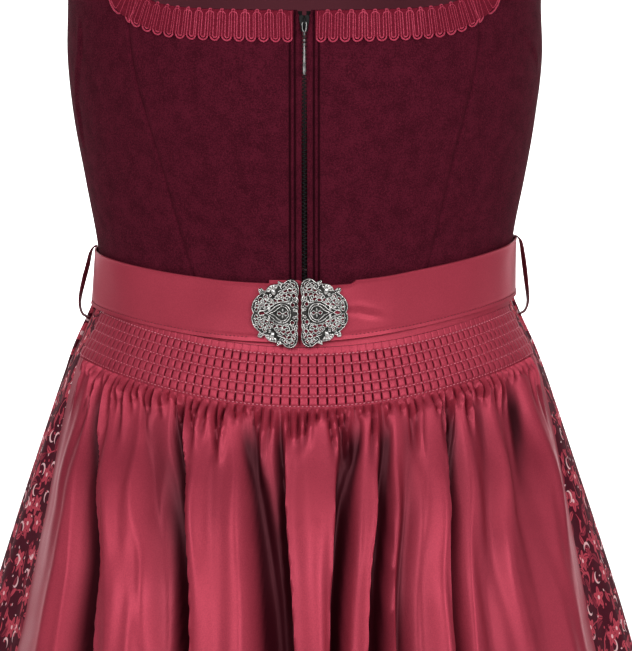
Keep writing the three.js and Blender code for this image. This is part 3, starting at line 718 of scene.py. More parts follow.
def braid_finish(name, deep, bright, roughness):
    braid = Finish(name, Roughness=roughness, Specular_IOR_Level=0.15)
    place = braid.place()
    ply = braid.noise(braid.moved(place, (1, 1, 1), (0.6, 0.4, 0.7)), 1500, 2, 0.55)
    braid.give("Base Color", braid.mix(braid.between(ply, 0.35, 0.65), deep, bright))
    braid.give("Normal", braid.raised(ply, 0.0002))
    return braid.material


def silver_finish(name, deep, bright, roughness):
    silver = Finish(name, Metallic=1.0)
    place = silver.place()
    worn = silver.noise(place, 420, 3, 0.6)
    fine = silver.noise(place, 2400, 2, 0.5)
    tone = silver.between(worn * 0.7 + fine * 0.3, 0.38, 0.62)
    silver.give("Base Color", silver.mix(tone, deep, bright))
    silver.give("Roughness", silver.between(worn, 0.3, 0.7, roughness, roughness + 0.14))
    silver.give("Normal", silver.raised(fine, 0.00004))
    return silver.material


def black_finish(name, tone, roughness, grain_scale):
    black = Finish(name, Specular_IOR_Level=0.25)
    place = black.place()
    grain = black.noise(place, grain_scale, 2, 0.5)
    black.give("Base Color", black.mix(grain, color(*tone), color(*(value + 12 for value in tone))))
    black.give("Roughness", black.between(grain, 0.3, 0.7, roughness, roughness + 0.15))
    black.give("Normal", black.raised(grain, 0.00008))
    return black.material


PRINT_GROUND = color(82, 18, 36)
PRINT_CORAL = color(205, 74, 92)
PRINT_DEEP = color(150, 46, 66)
PRINT_PALE = color(252, 204, 208)


def print_finish():
    """Small flowers, leaves, twigs, crescents and drops in flat colours on a dark ground."""
    cotton = Finish("printed_cotton", Roughness=0.8, Specular_IOR_Level=0.1)
    pattern = cotton.moved(cotton.pattern(), (0.72, 0.72, 1))

    def motif(cell, shift, rarity):
        """Motifs strewn about a cell apart: where they are shown, and each one's own turned x and y."""
        moved = cotton.moved(pattern, shift=shift)
        settings = {"voronoi_dimensions": "2D", "feature": "F1"}
        values = {"Vector": moved, "Scale": 1 / cell, "Randomness": 0.75}
        seeds = cotton.node("ShaderNodeTexVoronoi", settings, values, "Color")
        centre = Socket(cotton, seeds.socket.node.outputs["Position"])
        local = cotton.vector("SUBTRACT", moved, centre)
        turn = cotton.split(seeds, 0) * 6.283
        values = {"Vector": local, "Angle": turn}
        local = cotton.node("ShaderNodeVectorRotate", {"rotation_type": "Z_AXIS"}, values)
        return cotton.split(seeds, 1) > rarity, cotton.split(local, 0), cotton.split(local, 1)

    def inside(value, limit, soft=0.00012):
        return cotton.between(value, limit + soft, limit - soft)

    def from_middle(x, y):
        return cotton.math("SQRT", x * x + y * y)

    base = PRINT_GROUND
    twig = abs(cotton.noise(pattern, 62, 1, 0.4) - 0.5)
    gaps = cotton.between(cotton.noise(pattern, 150, 1, 0.5), 0.44, 0.5)
    base = cotton.mix(inside(twig, 0.012, 0.003) * gaps, base, PRINT_CORAL)

    # leaves: a lens shape with a rib left in the ground colour
    for cell, shift, length, width, tone in (
        (0.0095, (0.1, 0.2, 0), 0.0036, 0.0013, PRINT_CORAL),
        (0.0120, (0.5, 0.3, 0), 0.0047, 0.0017, PRINT_DEEP),
    ):
        shown, x, y = motif(cell, shift, 0.25)
        bow = y + x * x * 60
        lens = abs(bow) - width * (1 - (x / length) * (x / length))
        rib = cotton.between(abs(bow), 0.00012, 0.00028)
        base = cotton.mix(inside(lens, 0) * shown * rib, base, tone)

    # flowers: five petals round a small eye
    shown, x, y = motif(0.0150, (0.7, 0.9, 0), 0.2)
    place = cotton.node("ShaderNodeCombineXYZ", None, {0: x, 1: y})
    distance = cotton.vector("LENGTH", place, output="Value")
    turn = cotton.math("ARCTAN2", y, x)
    petal = cotton.math("COSINE", turn * 5)
    rim = 0.0041 + petal * 0.0011
    base = cotton.mix(inside(distance - rim, 0) * shown, base, PRINT_CORAL)
    vein = inside(abs(cotton.math("SINE", turn * 2.5)), 0.1, 0.04) * inside(distance, 0.0036)
    base = cotton.mix(vein * shown * (distance > 0.0014), base, PRINT_GROUND)
    base = cotton.mix(inside(distance, 0.0010) * shown, base, PRINT_PALE)

    # crescents and drops in the pale accent
    shown, x, y = motif(0.0135, (0.35, 0.6, 0), 0.4)
    crescent = inside(from_middle(x, y), 0.0029) * (1 - inside(from_middle(x - 0.0011, y), 0.0027))
    base = cotton.mix(crescent * shown, base, PRINT_PALE)
    shown, x, y = motif(0.0068, (0.15, 0.75, 0), 0.62)
    drop = abs(y) * 1.9 + abs(x - 0.0002) - 0.0010
    base = cotton.mix(inside(drop, 0) * shown, base, PRINT_PALE)

    # small dots
    shown, x, y = motif(0.0056, (0.45, 0.15, 0), 0.5)
    base = cotton.mix(inside(from_middle(x, y), 0.00065) * shown, base, PRINT_CORAL)

    weave = cotton.noise(cotton.moved(pattern, (1, 2.2, 1)), 2600, 2, 0.5)
    shade = cotton.between(weave, 0.3, 0.7, 0.9, 1.06)
    tint = cotton.node("ShaderNodeCombineXYZ", None, {0: shade, 1: shade, 2: shade})
    cotton.give("Base Color", cotton.vector("MULTIPLY", base, tint))
    cotton.give("Normal", cotton.raised(weave, 0.00012))
    return cotton.material


WOOL = wool_finish()
LINING = lining_finish()
SATIN = satin_finish("apron_satin", color(162, 54, 72), color(180, 62, 80))
# The same satin with painted shade in its folds, for the apron's panel and smocking
SATIN_WITH_PAINTED_SHADE = satin_finish("satin_with_painted_shade", color(164, 54, 73), color(182, 63, 82), painted_shade=color(40, 6, 14))
BELT_SATIN = satin_finish("belt_satin", color(168, 56, 74), color(182, 64, 82))
RIBBON = satin_finish("loop_ribbon", color(72, 16, 30), color(92, 24, 42))
THREAD = thread_finish("smocking_thread_silk", color(218, 112, 132), color(246, 154, 170))
BELT_THREAD = thread_finish("belt_thread_silk", color(112, 26, 44), color(142, 44, 62))
BRAID = braid_finish("braid_ground", color(96, 12, 32), color(124, 24, 46), 0.85)
CORD = braid_finish("braid_cord", color(168, 44, 70), color(208, 78, 104), 0.5)
PRINT = print_finish()
TAPE = black_finish("zip_tape", (10, 5, 7), 0.85, 1900)
COIL = black_finish("zip_coil", (9, 6, 7), 0.5, 900)
SILVER = silver_finish("bright_silver", (0.58, 0.57, 0.55), (0.90, 0.89, 0.87), 0.2)
PULL_SILVER = silver_finish("pull_silver", (0.16, 0.155, 0.155), (0.36, 0.35, 0.345), 0.28)
OLD_SILVER = silver_finish("dark_silver", (0.018, 0.017, 0.016), (0.08, 0.077, 0.074), 0.45)


# ---------------------------------------------------------------- attaching pieces to their bodies and hiding the parts they replace

def declare(piece, nodes=(), body="garment"):
    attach(piece, body)
    if nodes:
        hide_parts(*nodes)
    return piece


def sheet(piece, width, length, held, share=None, rests_on=(), with_pieces=()):
    area = None if share is None else share * width * length


# ---------------------------------------------------------------- skirt

def fold_reach(folds, angle, height):
    """How far the broad folds stand out at a place on the skirt."""
    reach = np.zeros_like(angle)
    turn = np.degrees(angle)
    for at, half, depth, start in folds:
        away = np.clip(np.abs(turn - at) / half, 0, 1)
        grown = smooth(start - height, 0, FOLD_GROWTH)
        early = FOLD_EARLY_SHARE * smooth(start - height, 0, FOLD_EARLY_END)
        reach += depth * np.cos(away * QUARTER) ** 2 * (early + (1 - early) * grown)
    return reach


CONE_SINE = 0.25
CONE_TOP = 140 / CONE_SINE


def cone_pattern(angle, height):
    """The flat place of a point on the flared skirt, so that motifs keep their size."""
    slant = CONE_TOP - height / math.sqrt(1 - CONE_SINE * CONE_SINE)
    turn = angle * CONE_SINE
    return np.stack([slant * np.sin(turn), -slant * np.cos(turn)], axis=-1)


def skirt_gathers(angle, below):
    """Gathers under the waist seam of the back, each with its own length, width, lean and depth."""
    gathers = np.zeros_like(angle)
    for k in range(SKIRT_GATHERS):
        at = QUARTER + math.pi * (k + 0.5 + sway(k, 0, 0.4)) / SKIRT_GATHERS
        length = varied(k, 1, 26, 80, 2)
        width = math.radians(varied(k, 2, 1.0, 0.9))
        lean = math.radians(sway(k, 3, 3)) / 60
        depth = varied(k, 4, 1.6, 1.6)
        fade = smooth(below, 0, 5) * (1 - smooth(below, 0.25 * length, length))
        gathers += depth * bump(angle - at - lean * below, width) * fade
    return gathers


def skirt_out(angle, height):
    """How far the skirt's outer face stands off the body form."""
    front = np.cos(angle) > 0
    reach = np.where(front, fold_reach(SKIRT_FRONT_FOLDS, angle, height), 0)
    back = fold_reach(SKIRT_BACK_FOLDS, angle, height)
    below = np.maximum(0, waist_seam(angle) - height)
    ripple = 0.5 * np.sin(angle * 31 + height * 0.011) + 0.4 * np.sin(angle * 47 - height * 0.017 + 1)
    ripple *= smooth(below, 10, 90)
    return SKIRT_WALL + reach + np.where(front, 0, back + skirt_gathers(angle, below)) + ripple * 0.5


def skirt_surface(start, end):
    """One half of the skirt, from its waist seam to its stitched hem."""
    def surface(across, up):
        angle = lerp(start, end, across)
        top = waist_seam(angle) - SEAM_GAP / 2
        height = top + (SKIRT_HEM - top) * (1 - up) ** 1.5
        hem = 1.2 * bump(height - SKIRT_HEM - HEM_STITCH_UP, 1.6)
        out = skirt_out(angle, height) - 0.5 * hem
        lean = 0.35 * (out - SKIRT_WALL) / half_width(height) * np.sin(9 * angle)
        return on_body(angle + lean * (np.cos(angle) < 0), height, out), cone_pattern(angle, height)
    return surface


def make_skirt():
    for part, start, columns, rows, width, length, share in (
        ("front", -QUARTER, 200, 110, 0.93, 0.68, 0.72),
        ("back", QUARTER, 240, 112, 1.0, 0.69, 0.75),
    ):
        surface = skirt_surface(start, start + math.pi)
        name = f"skirt_{part}_cloth"
        piece = cloth(name, surface, even_stops(columns), even_stops(rows), SKIRT_WALL, [PRINT])
        declare(piece, [f"skirt_{part}"])
        sheet(piece, width, length, "gathered", share)


# ---------------------------------------------------------------- apron

def smock_height(angle, row):
    top = SMOCK_TOP - SMOCK_ROW * row
    return top - (SMOCK_DIP + SMOCK_DIP_PER_ROW * row) * frontness(angle)


SMOCK_START = SMOCK_LEAD / SMOCK_ROW
SMOCK_END = SMOCK_ROWS + SMOCK_START + SMOCK_TAIL / SMOCK_ROW


def apron_angle(across, height):
    """The angle of a place across the apron: its sides draw in quickly under the smocking, then slowly."""
    quick = np.clip((APRON_TURN_START - height) / APRON_TURN_REACH, 0, 1) ** 0.8
    slow = smooth(-height, -APRON_TURN_START, -APRON_HEM)
    share = lerp(slow, quick, APRON_TURN_SHARE)
    left = lerp(APRON_EDGES[0], APRON_HEM_EDGES[0], share)
    right = lerp(APRON_EDGES[1], APRON_HEM_EDGES[1], share)
    return np.radians(lerp(left, right, across))


def spline_at(height, levels, values):
    """A smooth way through the values at uneven levels, without overshoot at its ends."""
    values = np.asarray(values, float)
    slopes = np.gradient(values, levels)
    slopes[0] = slopes[-1] = 0
    at = np.clip(height, levels[0], levels[-1])
    k = np.clip(np.searchsorted(levels, at) - 1, 0, len(levels) - 2)
    span = levels[k + 1] - levels[k]
    t = (at - levels[k]) / span
    first = slopes[k] * span
    last = slopes[k + 1] * span
    rise = values[k + 1] - values[k]
    square = 3 * rise - 2 * first - last
    cube = first + last - 2 * rise
    return values[k] + t * first + t * t * square + t ** 3 * cube


def fold_profile(angle, height):
    """The height of the apron's cloth over its folds, between the listed tracks."""
    turn = np.degrees(angle)
    levels = np.array(FOLD_LEVELS[::-1], float)

    def track(fold, part):
        return spline_at(height, levels, [stop[part] for stop in fold[::-1]])

    places = [track(fold, 0) for fold in APRON_FOLDS]
    heights = [track(fold, 1) for fold in APRON_FOLDS]
    profile = heights[0]
    for k in range(len(APRON_FOLDS) - 1):
        share = smooth((turn - places[k]) / np.maximum(0.3, places[k + 1] - places[k]), 0, 1)
        profile = profile + (heights[k + 1] - heights[k]) * share
    return profile


def fine_gathers(across, below, height):
    """Small pleats that run on from the smocking's slits, and the painted shade down in them."""
    gathers = np.zeros_like(across)
    shade = np.zeros_like(across)
    width = half_width(height) * np.radians(APRON_EDGES[1] - APRON_EDGES[0])
    for k in range(SMOCK_CELLS + 1):
        length = varied(k, 5, 8, 52, 2)
        lean = sway(k, 6, 0.34)
        depth = varied(k, 7, 2.3, 3.0)
        away = (across - k / SMOCK_CELLS) * width - lean * below
        spread = 0.6 + 0.06 * below
        fade = smooth(below, -3, 2) * (1 - smooth(below, 0.25 * length, length))
        gathers -= depth * bump(away, spread) * fade
        gathers += 0.8 * depth * bump(away - 2.5 - 0.03 * below, 1.1 + 0.04 * below) * fade
        shade = np.maximum(shade, bump(away, 0.75 * spread) * fade)
    return gathers, shade


def apron_relief(angle, height, below):
    """The height of the apron's folds as listed, and with their swell and ripples."""
    raw = fold_profile(angle, height)
    grown = 0.45 * smooth(below, 0, 9) + 0.55 * smooth(below, 6, 80)
    profile = (raw + (FOLD_SWELL - 1) * np.maximum(0, raw - FOLD_LEVEL)) * grown
    turn = np.degrees(angle)
    ripple = 0.5 * np.sin(turn * 0.83 + below * 0.012) + 0.35 * np.sin(turn * 1.37 - below * 0.02 + 2)
    return raw, profile + ripple * smooth(below, 8, 50)


def apron_surface(across, up):
    """The apron's panel, from under the smocking to the hem, laid over the skirt."""
    top = smock_height(apron_angle(across, 0.0), SMOCK_END) - SEAM_GAP
    height = top + (APRON_HEM - top) * (1 - up) ** 1.75
    angle = apron_angle(across, height)
    below = top - height
    near = APRON_NEAR * smooth(below, -20, APRON_NEAR_END + 40)
    low = APRON_LOW * smooth(below, APRON_NEAR_END, APRON_LOW_END)
    under = skirt_out(angle, height)
    raw, profile = apron_relief(angle, height, below)
    gathers, gather_shade = fine_gathers(across, below, height)
    profile = profile + gathers

    # the two side edges lie flat on the skirt, and the cloth never sinks into it
    inside = smooth(across, 0, LEFT_EDGE_END) * (1 - smooth(across, RIGHT_EDGE_START, 1))
    out = APRON_OUT + APRON_WALL + (near + low + profile) * inside
    floor = APRON_WALL + APRON_LEAST_OUT
    out = floor + np.logaddexp(0, (out - floor) * APRON_REST) / APRON_REST

    side = np.tanh(np.degrees(angle) / 7)
    lean = OUTWARD_LEAN * side * (profile - 4) / half_width(height) * smooth(below, 10, 60)
    hang = -HANG * np.sin(angle) * smooth(below, 5, 125) * (EDGE_HANG + (1 - EDGE_HANG) * inside)
    points = on_body(angle + lean * inside + hang, height, under + out)
    pattern = np.stack([(across - 0.5) * 900, height], axis=-1)

    # Painted shade: the satin's colour is darkened down in the valleys, partly on the slopes and in the
    # gathers' slits
    valley = smooth(VALLEY_HEIGHT - raw, 0, 6) * smooth(below, 0, 26)
    slope = SLOPE_SHADE * smooth(SLOPE_HEIGHT - raw, 0, 7) * smooth(below, 6, 60)
    lit = (1 - valley) * (1 - slope) * (1 - GATHER_SHADE * gather_shade)
    return points, pattern, 1 - lit


def cell_stops():
    part = np.array([0, 0.05, 0.1, 0.17, 0.32, 0.5, 0.68, 0.83, 0.9, 0.95])
    stops = [(k + part) / SMOCK_CELLS for k in range(SMOCK_CELLS)]
    return np.append(np.concatenate(stops), 1.0)


def row_stops():
    part = np.array([0, 0.07, 0.15, 0.3, 0.5, 0.7, 0.85, 0.93])
    rows = [SMOCK_START + k + part for k in range(SMOCK_ROWS)]
    rows = np.concatenate([[0, 0.2, 0.45], *rows, [SMOCK_START + SMOCK_ROWS, SMOCK_END]])
    return 1 - rows[::-1] / SMOCK_END


def smock_out(across, row):
    """Pillowed cells with slits between them, drawn in along the stitched rows, and the painted shade in the
    slits.
    """
    cell = across * SMOCK_CELLS
    number = np.floor(cell)
    part = cell - number
    line = np.floor(row - SMOCK_START)
    inside = (row > SMOCK_START) & (row < SMOCK_START + SMOCK_ROWS)
    wobble = sway(number + 13 * line, 8, 0.07)
    slit = np.minimum(np.abs(part + wobble * part * (1 - part) * 4), np.abs(1 - part)) * SMOCK_CELL_WIDTH
    from_row = np.abs(row - SMOCK_START - np.round(row - SMOCK_START)) * SMOCK_CELL_HEIGHT
    open_slit = smooth(from_row, 0.35, 1.5) * inside
    swell = (0.9 - 0.15 * (2 * part - 1) ** 2) * (0.6 + 0.4 * smooth(from_row, 0, 1.4)) * inside
    depth = varied(number + 7 * line, 9, 2.1, 0.8) * bump(slit, 0.32) * open_slit
    drawn = 0.3 * bump(from_row, 0.4) + 0.25 * bump(slit, 0.4) * (1 - open_slit)
    tilt = 0.35 * (part - 0.5) * sway(number + 3 * line, 10) * inside
    # painted shade down in the open slits
    shade = 0.9 * bump(slit, 0.42) * open_slit
    return SMOCK_OUT + swell - depth - drawn + tilt, shade


def smock_place(across, row):
    """The angle and height of a place on the smocking: its pleats lean a little towards the sides."""
    angle = apron_angle(across, 0.0)
    slant = SMOCK_SLANT * (row - 3) * np.sin(angle) ** 5
    return angle + slant, smock_height(angle, row)


def smock_surface(across, up):
    row = lerp(SMOCK_END, 0, up)
    angle, height = smock_place(across, row)
    out, shade = smock_out(across, row)
    pattern = np.stack([(across - 0.5) * 360, height], axis=-1)
    return on_body(angle, height, out), pattern, shade


def smock_threads():
    spots = []
    across = np.linspace(0.004, 0.996, 900)
    for k in range(SMOCK_ROWS + 1):
        angle, height = smock_place(across, np.full_like(across, SMOCK_START + k))
        points = on_body(angle, height, SMOCK_OUT + 0.05)
        normals = body_normal(apron_angle(across, 0.0), level_at(height))
        spots += stitch_line(points, normals, 2.6, 1.9, 0.75)
    return knobs("smocking_thread", spots, THREAD, 1)


def band_surface(across, up):
    """The waistband: a plain strip above the smocking, mostly behind the belt."""
    angle = apron_angle(across, 0.0)
    height = smock_height(angle, 0.0) + SEAM_GAP + BAND_HEIGHT * up
    return on_body(angle, height, SMOCK_INNER + 1), np.stack([across * 360, height], axis=-1)


def make_apron():
    panel = cloth("apron_cloth", apron_surface, even_stops(350), even_stops(116), APRON_WALL, [SATIN_WITH_PAINTED_SHADE])
    declare(panel, ["apron_panel"])
    smocking = cloth("smocking_cloth", smock_surface, cell_stops(), row_stops(), 0.8, [SATIN_WITH_PAINTED_SHADE])
    declare(smocking, ["apron_smocking"])
    threads = declare(smock_threads())
    band = cloth("apron_band_cloth", band_surface, even_stops(80), even_stops(3), 1.0, [SATIN])
    declare(band, ["apron_waistband"])
    sheet(panel, 0.84, 0.59, "gathered", rests_on=["skirt_front_cloth"])
    sheet(smocking, 0.62, 0.033, "gathered", rests_on=["skirt_front_cloth"], with_pieces=[threads])
    sheet(band, 0.325, 0.0165, "stretched")


# ---------------------------------------------------------------- bodice

FRONT_GROOVES = (4.1, 7.2)
SEAM_RIDGE = 0.25
SEAM_RIDGE_AT = 3.2
SEAM_RIDGE_WIDTH = 1.8
# The way of a soft crease under each arm: angle in degrees and height
UNDERARM_LEFT = [(-70.5, 186), (-69.5, 165), (-73, 145), (-75.5, 129), (-76, 99)]
UNDERARM_RIGHT = [(62, 182), (73.5, 163), (79, 150)]
# For a mirrored panel or not: the crease's way, its height and width, and the angle and width of the
# hollow beside it
UNDERARM_CREASES = {True: (UNDERARM_LEFT, 1.1, 2.2, 2.4, 2.0), False: (UNDERARM_RIGHT, 1.0, 2.4, -2.2, 2.2)}
UNDERARM_HOLLOW = 0.9


def panel_place(inner, outer, sweep):
    """A panel between two edges: sweep above 1 keeps its columns nearer the inner edge higher up."""
    def place(across, up):
        inner_angle, inner_height = inner(up)
        outer_angle, outer_height = outer(up)
        share = across ** (1 + (sweep - 1) * up ** 4)
        ruled = lerp(inner_height, outer_height, share)
        foot = lerp(inner(np.zeros(1))[1], outer(np.zeros(1))[1], across)
        angle = lerp(inner_angle, outer_angle, across)
        fade = 1 - smooth(ruled - foot, 0, 70)
        return angle, ruled + (waist_seam(angle) + SEAM_GAP / 2 - foot) * fade
    return place


def crease(angle, height, route, width):
    """A soft crease along a route of angle in degrees and height."""
    heights = [stop[1] for stop in route[::-1]]
    turns = [math.radians(stop[0]) for stop in route[::-1]]
    at = np.interp(height, heights, turns)
    begun = smooth(height, heights[0] - 4, heights[0] + 16)
    ended = smooth(height, heights[-1] - 14, heights[-1] + 3)
    return bump((angle - at) * half_width(height), width) * (begun * (1 - ended))


def seam_relief(away, depth, width):
    """A seam sunk in the wool, with the soft ridge of its allowance beside it."""
    return SEAM_RIDGE * bump(away - SEAM_RIDGE_AT, SEAM_RIDGE_WIDTH) - depth * bump(away, width)


def sewn_at_shoulder(points, height, side):
    """Draws the top edge of a panel in to the shoulder seam, from the front (-1) or the back (1)."""
    near = smooth(height, SHOULDER_HEIGHT - 2.5, SHOULDER_HEIGHT)
    points[:, 1] = lerp(points[:, 1], side * 0.05, near)
    return points


def front_edge_relief(from_edge):
    """The stitched strip beside the zip: two grooves with ridges between them, and the painted shade in the
    grooves.
    """
    relief = np.zeros_like(from_edge)
    shade = np.zeros_like(from_edge)
    for groove in FRONT_GROOVES:
        relief -= 1.1 * bump(from_edge - groove, 0.6)
        shade += 0.85 * bump(from_edge - groove, 0.62)
    relief += 0.25 * bump(from_edge - 2, 1.6) + 0.2 * bump(from_edge - 5.6, 1.1)
    return relief - 0.4 * bump(from_edge, 0.5), shade


def panel_surface(inner, outer, sweep=1.0, front_edge=False, mirror=False, seams=(True, True)):
    """A front or side panel of wool between two edges, with its seams, stitching and creases."""
    place = panel_place(inner, outer, sweep)
    route, ridge, ridge_width, beside, hollow_width = UNDERARM_CREASES[mirror]
    hollow_route = [(turn + beside, height) for turn, height in route]

    def surface(across, up):
        angle, height = place(across, up)
        width = half_width(height)
        relief = np.zeros_like(angle)
        shade = np.zeros_like(angle)
        for sewn, away in zip(seams, ((angle - inner(up)[0]) * width, (outer(up)[0] - angle) * width)):
            if sewn:
                relief += seam_relief(away, 0.7, 1.6)
                # painted shade along each sewn seam
                shade += 0.22 * bump(away, 1.1)
        if front_edge:
            edge_relief, edge_shade = front_edge_relief(width * np.sin(angle) - ZIP_GAP / 2)
            relief += edge_relief
            shade += edge_shade
        turned = -angle if mirror else angle
        relief += ridge * crease(turned, height, route, ridge_width)
        relief -= UNDERARM_HOLLOW * crease(turned, height, hollow_route, hollow_width)
        soft = 0.22 * np.sin(turned * 9 + height * 0.05) * np.sin(height * 0.043 + turned * 4)
        pattern = np.stack([turned * 140, height], axis=-1)
        points = on_body(angle, height, BODICE_WALL + relief + soft)
        return sewn_at_shoulder(points, height, -1), pattern, np.clip(shade, 0, 1)

    return surface


def back_surface(across, up):
    """The back, cut on the fold: both its halves are the same half, mirrored about the middle."""
    outer = edge(BACK_SEAM, BACK_ARMHOLE, behind=True)
    half = panel_place(edge(BACK_MIDDLE, BACK_NECK, behind=True), outer, 1)
    turn = np.where(across < 0.5, 1.0, -1.0)
    angle, height = half(np.abs(2 * across - 1), up)
    relief = seam_relief((angle - outer(up)[0]) * half_width(height), 0.9, 1.5)
    points = sewn_at_shoulder(on_body(angle, height, BODICE_WALL + relief), height, 1)
    points = points * np.stack([turn, np.ones_like(turn), np.ones_like(turn)], axis=-1)
    return points, np.stack([angle * turn * 140, height], axis=-1)


def edged_stops(count):
    """Even stops from 0 to 1, with closer ones beside the seams at both ends."""
    close = [0.004, 0.009, 0.016, 0.026, 0.04]
    stops = np.concatenate([even_stops(count), close, [1 - value for value in close]])
    return np.unique(np.round(stops, 5))


def front_stops():
    """Columns close together across the stitched strips beside the zip."""
    width = 82.0
    strips = ((0, 3.2, 0.5), (3.2, 5.1, 0.2), (5.3, 6.4, 0.4), (6.4, 8.3, 0.2), (8.6, 12, 0.9))
    close = np.concatenate([np.arange(*strip) for strip in strips])
    seam = np.array([0.95, 0.965, 0.975, 0.984, 0.99, 0.995, 1.0])
    return np.concatenate([close / width, np.linspace(12.5 / width, 0.94, 34), seam])


def wool_panel(part, side, surface, columns, rows, size, share, mirror=False):
    """One lined panel of the bodice: size is its flat width and length, and share how much it fills."""
    piece = cloth(f"bodice_{part}_cloth{side}", surface, columns, even_stops(rows), BODICE_WALL,
                  [WOOL, LINING], mirror)
    declare(piece, [f"bodice_{part}{side}"])
    sheet(piece, *size, "stretched", share)


def make_bodice():
    seam_stops = edged_stops(44)
    side_edge = edge(SIDE_SEAM, FRONT_ARMHOLE)
    for side, turn in (("_left", -1), ("_right", 1)):
        mirror = turn < 0
        lean = turn * PRINCESS_LEAN
        princess = edge(PRINCESS_SEAM, lean=lean)
        front = panel_surface(edge(FRONT_EDGE), princess, sweep=8, front_edge=True, mirror=mirror,
                              seams=(False, True))
        wool_panel("front", side, front, front_stops(), 72, (0.122, 0.226), 0.76, mirror)
        side_front = panel_surface(edge(PRINCESS_SEAM, FRONT_NECK, lean=lean), side_edge, mirror=mirror)
        wool_panel("side_front", side, side_front, seam_stops, 130, (0.123, 0.448), 0.61, mirror)
        side_back = panel_surface(edge(SIDE_SEAM), edge(BACK_SEAM, behind=True), sweep=2.5, mirror=mirror)
        wool_panel("side_back", side, side_back, seam_stops, 70, (0.118, 0.257), 0.74, mirror)
    wool_panel("back", "", back_surface, edged_stops(84), 130, (0.325, 0.51), 0.61)


# ---------------------------------------------------------------- braid

LOOP_PERIOD = 7.1
BRAID_LIFT = BODICE_WALL + LAYER_GAP
# The two cords that loop along the braid: half width of a loop, and its top and bottom, counted
# from the braid's outer edge
BRAID_CORDS = [(2.75, 16.6, -2.6), (1.3, 15.2, -0.9)]
BRAID_GROUND_OUT = 0.55
BRAID_CORD_OUT = 0.75
BRAID_CORD_RADIUS = 0.58


def band_place(along, way, width):
    """A place on the bodice at a width from an edge, counted square to it."""
    way = np.asarray(way, float)
    angle, height = along(way)
    ahead = on_body(*along(np.minimum(1, way + 0.004)))
    behind = on_body(*along(np.maximum(0, way - 0.004)))
    inward = unit(np.cross(ahead - behind, body_normal(angle, level_at(height))))
    return walk(angle, height, inward, width)


def run_length(along, count=1500):
    way = np.linspace(0, 1, count)
    points = on_body(*along(way))
    steps = np.linalg.norm(np.diff(points, axis=0), axis=1)
    return way, np.concatenate([[0], np.cumsum(steps)])


def serpentine(count, arm, top, bottom):
    """A cord's way along a band, up and down in round loops: distance along and height across."""
    outer = LOOP_PERIOD / 2 - arm
    straight = np.arange(5) / 5
    bend = math.pi * np.arange(8) / 8
    down = lerp(top - outer, bottom + arm, straight)
    rise = lerp(bottom + arm, top - outer, straight)
    xs = np.concatenate([
        np.full(5, -arm),
        -arm * np.cos(bend),
        np.full(5, arm),
        arm + outer - outer * np.cos(bend),
    ])
    ys = np.concatenate([
        down,
        bottom + arm - arm * np.sin(bend),
        rise,
        top - outer + outer * np.sin(bend),
    ])
    middles = (np.arange(count) + 0.5) * LOOP_PERIOD
    return (middles[:, None] + xs).ravel(), np.tile(ys, count)


def braid_part(part, along, mirror=False):
    """One run of braid: a woven ground and the two cords that loop along it."""
    way, run = run_length(along)
    total = run[-1]

    def ground(across, up):
        angle, height = band_place(along, across, TRIM_WIDTH * (0.04 + 0.98 * up))
        points = on_body(angle, height, BRAID_LIFT + BRAID_GROUND_OUT)
        return points, np.stack([across * total, up * TRIM_WIDTH], axis=-1)

    count = int(total / LOOP_PERIOD)
    scale = total / (count * LOOP_PERIOD)
    runs = []
    for arm, top, bottom in BRAID_CORDS:
        xs, ys = serpentine(count, arm, top, bottom)
        wander = 0.18 * np.sin(xs * 0.9) + 0.12 * np.sin(xs * 2.3 + 1)
        lean = 0.5 * (ys / TRIM_WIDTH - 0.5)
        place = np.interp(np.clip(xs * scale + lean + wander, 0, total), run, way)
        points = on_body(*band_place(along, place, TRIM_WIDTH - ys), BRAID_LIFT + BRAID_CORD_OUT)
        runs.append(points * OTHER_SIDE if mirror else points)
    band = cloth(f"braid_{part}_ground", ground, even_stops(150), even_stops(5), 0.7, [BRAID], mirror)
    cord = cords(f"braid_{part}_cord", runs, BRAID_CORD_RADIUS, CORD)
    declare(band, [f"neck_trim_{part}"])
    declare(cord)
    sheet(band, total * 1.05 * MM, TRIM_WIDTH * MM, "stretched", with_pieces=[cord])


def back_neck(way):
    """The whole back neck edge, from one shoulder round the middle to the other."""
    angle, height = edge(BACK_NECK, behind=True)(np.abs(2 * np.asarray(way, float) - 1))
    return np.where(way < 0.5, angle, 2 * math.pi - angle), height


def make_braid():
    front = edge(NECK_TRIM)
    braid_part("front_left", front, True)
    braid_part("front_right", front)
    braid_part("back", back_neck)


# ---------------------------------------------------------------- zip

SLIDER_HEIGHT = 189.5
ZIP_HEAD = 197
ZIP_FOOT = -6
TAPE_INNER = 1.3
TAPE_OUTER = 11
TAPE_OUT = -1.1
TOOTH_PITCH = 1.25
TOOTH_SIDE = 0.55
TOOTH_OUT = -0.35
TOOTH_SIZE = (2.3, 0.85, 1.3)
TOOTH_ROUNDING = 0.22


def tape_surface(across, up):
    height = lerp(ZIP_FOOT, ZIP_HEAD, up)
    angle = angle_at(lerp(TAPE_INNER, TAPE_OUTER, across), height)
    return on_body(angle, height, TAPE_OUT), np.stack([across * 9, height], axis=-1)


